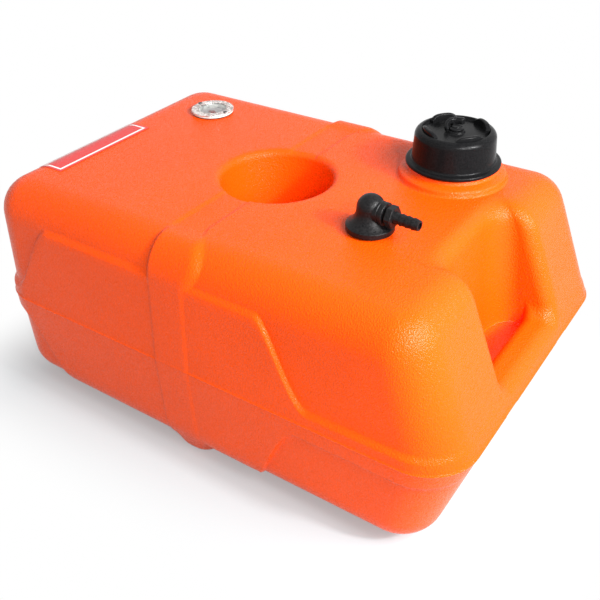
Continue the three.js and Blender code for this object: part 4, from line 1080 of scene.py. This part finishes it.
class MakeStage(bpy.types.Operator):
    """Make the floor, the lamps, the world and the camera"""
    bl_idname = "fuel_tank.stage"
    bl_label = "Stage"

    def execute(self, context):
        self.make_floor()
        self.make_world(context)
        self.make_lamps()
        self.make_camera(context)
        context.scene.view_settings.view_transform = "Standard"
        return {"FINISHED"}

    def make_floor(self):
        """Pale disc that fades to plain white away from the object."""
        material, tree, shader = new_material("studio_floor")
        join(tree, shader, {
            "Base Color": (0.46, 0.50, 0.52, 1), "Roughness": 0.9, "Specular IOR Level": 0.1,
        })
        half_size, fade_over, least_glow = (0.22, 0.14, 0), 0.13, 0.25
        past = add_node(tree, "TexCoord").outputs["Object"]
        for operation, *value in (("ABSOLUTE",), ("SUBTRACT", half_size), ("MAXIMUM", (0, 0, 0))):
            past = maths(tree, operation, past, *value, kind="VectorMath")
        away = maths(tree, "LENGTH", past, kind="VectorMath", output="Value")
        limits = {"From Max": fade_over, "To Min": least_glow}
        fade = add_node(tree, "MapRange", {"Value": away, **limits}, interpolation_type="SMOOTHSTEP")
        mix = add_node(tree, "MixShader", {
            "Fac": maths(tree, "MULTIPLY", rays_that_see(tree), fade.outputs["Result"]),
            1: shader.outputs["BSDF"],
            2: add_node(tree, "Emission").outputs["Emission"],
        })
        output = next(n for n in tree.nodes if n.type == "OUTPUT_MATERIAL")
        join(tree, output, {"Surface": mix.outputs["Shader"]})
        bpy.ops.mesh.primitive_circle_add(vertices=96, radius=4, fill_type="NGON", location=(0, 0, -0.0004))
        floor = bpy.context.object
        floor.name = "floor"
        floor.data.materials.append(material)

    def make_world(self, context):
        """Even pale light, seen as plain white by the camera and in reflections."""
        world = bpy.data.worlds.new("studio")
        context.scene.world = world
        world.use_nodes = True
        tree = world.node_tree
        tree.nodes.clear()
        lit, seen = (
            add_node(tree, "Background", {"Color": (1, 1, 1, 1), "Strength": strength}).outputs["Background"]
            for strength in (0.52, 1.0)
        )
        mix = add_node(tree, "MixShader", {"Fac": rays_that_see(tree), 1: lit, 2: seen})
        add_node(tree, "OutputWorld", {"Surface": mix.outputs["Shader"]})

    def make_lamps(self):
        """One broad lamp over the bar's end, and two small ones that draw the sharp lights."""
        aim = (0.05, 0, 0.15)
        area_light("key_lamp", (0.72, -0.11, 0.66), aim, (0.6, 0.45), 12.5)
        area_light("spark_lamp", (1.30, -0.10, 1.02), aim, (0.14, 0.14), 20)
        area_light("flash_lamp", (1.05, -0.90, 1.02), aim, (0.14, 0.14), 10)

    def make_camera(self, context):
        """Camera at its place, turned by its azimuth, elevation and roll."""
        stage = context.scene.tank_stage
        data = bpy.data.cameras.new("camera")
        data.lens = stage.lens
        data.sensor_width = 36
        camera = bpy.data.objects.new("camera", data)
        turned = Matrix.Rotation(stage.camera_turn, 4, "Z")
        turned = turned @ Matrix.Rotation(math.pi / 2 - stage.camera_rise, 4, "X")
        turned = turned @ Matrix.Rotation(-stage.camera_roll, 4, "Z")
        camera.matrix_world = Matrix.Translation(stage.camera_place) @ turned
        context.scene.collection.objects.link(camera)
        context.scene.camera = camera


class FuelTankPanel(bpy.types.Panel):
    """Sizes, colours and steps of the fuel tank"""
    bl_idname = "VIEW3D_PT_fuel_tank"
    bl_label = "Fuel tank"
    bl_space_type = "VIEW_3D"
    bl_region_type = "UI"
    bl_category = "Fuel tank"

    def draw(self, context):
        for settings in (context.scene.tank_looks, context.scene.tank_stage):
            for name in settings.bl_rna.properties.keys():
                if name not in ("rna_type", "name"):
                    self.layout.prop(settings, name)
        for operator in OPERATORS:
            self.layout.operator(operator.bl_idname)


OPERATORS = (MakeTankBody, MakeFillerCap, MakePickUp, MakeGauge, MakeLabel, DressSolids, MakeStage)
SETTINGS = (TankLooks, TankStage)


def register():
    for kind in (*SETTINGS, *OPERATORS, FuelTankPanel):
        bpy.utils.register_class(kind)
    bpy.types.Scene.tank_looks = PointerProperty(type=TankLooks)
    bpy.types.Scene.tank_stage = PointerProperty(type=TankStage)


def unregister():
    del bpy.types.Scene.tank_stage
    del bpy.types.Scene.tank_looks
    for kind in reversed((*SETTINGS, *OPERATORS, FuelTankPanel)):
        bpy.utils.unregister_class(kind)


def main():
    register()
    for operator in OPERATORS:
        getattr(bpy.ops.fuel_tank, operator.bl_idname.split(".")[1])()


if __name__ == "__main__":
    main()
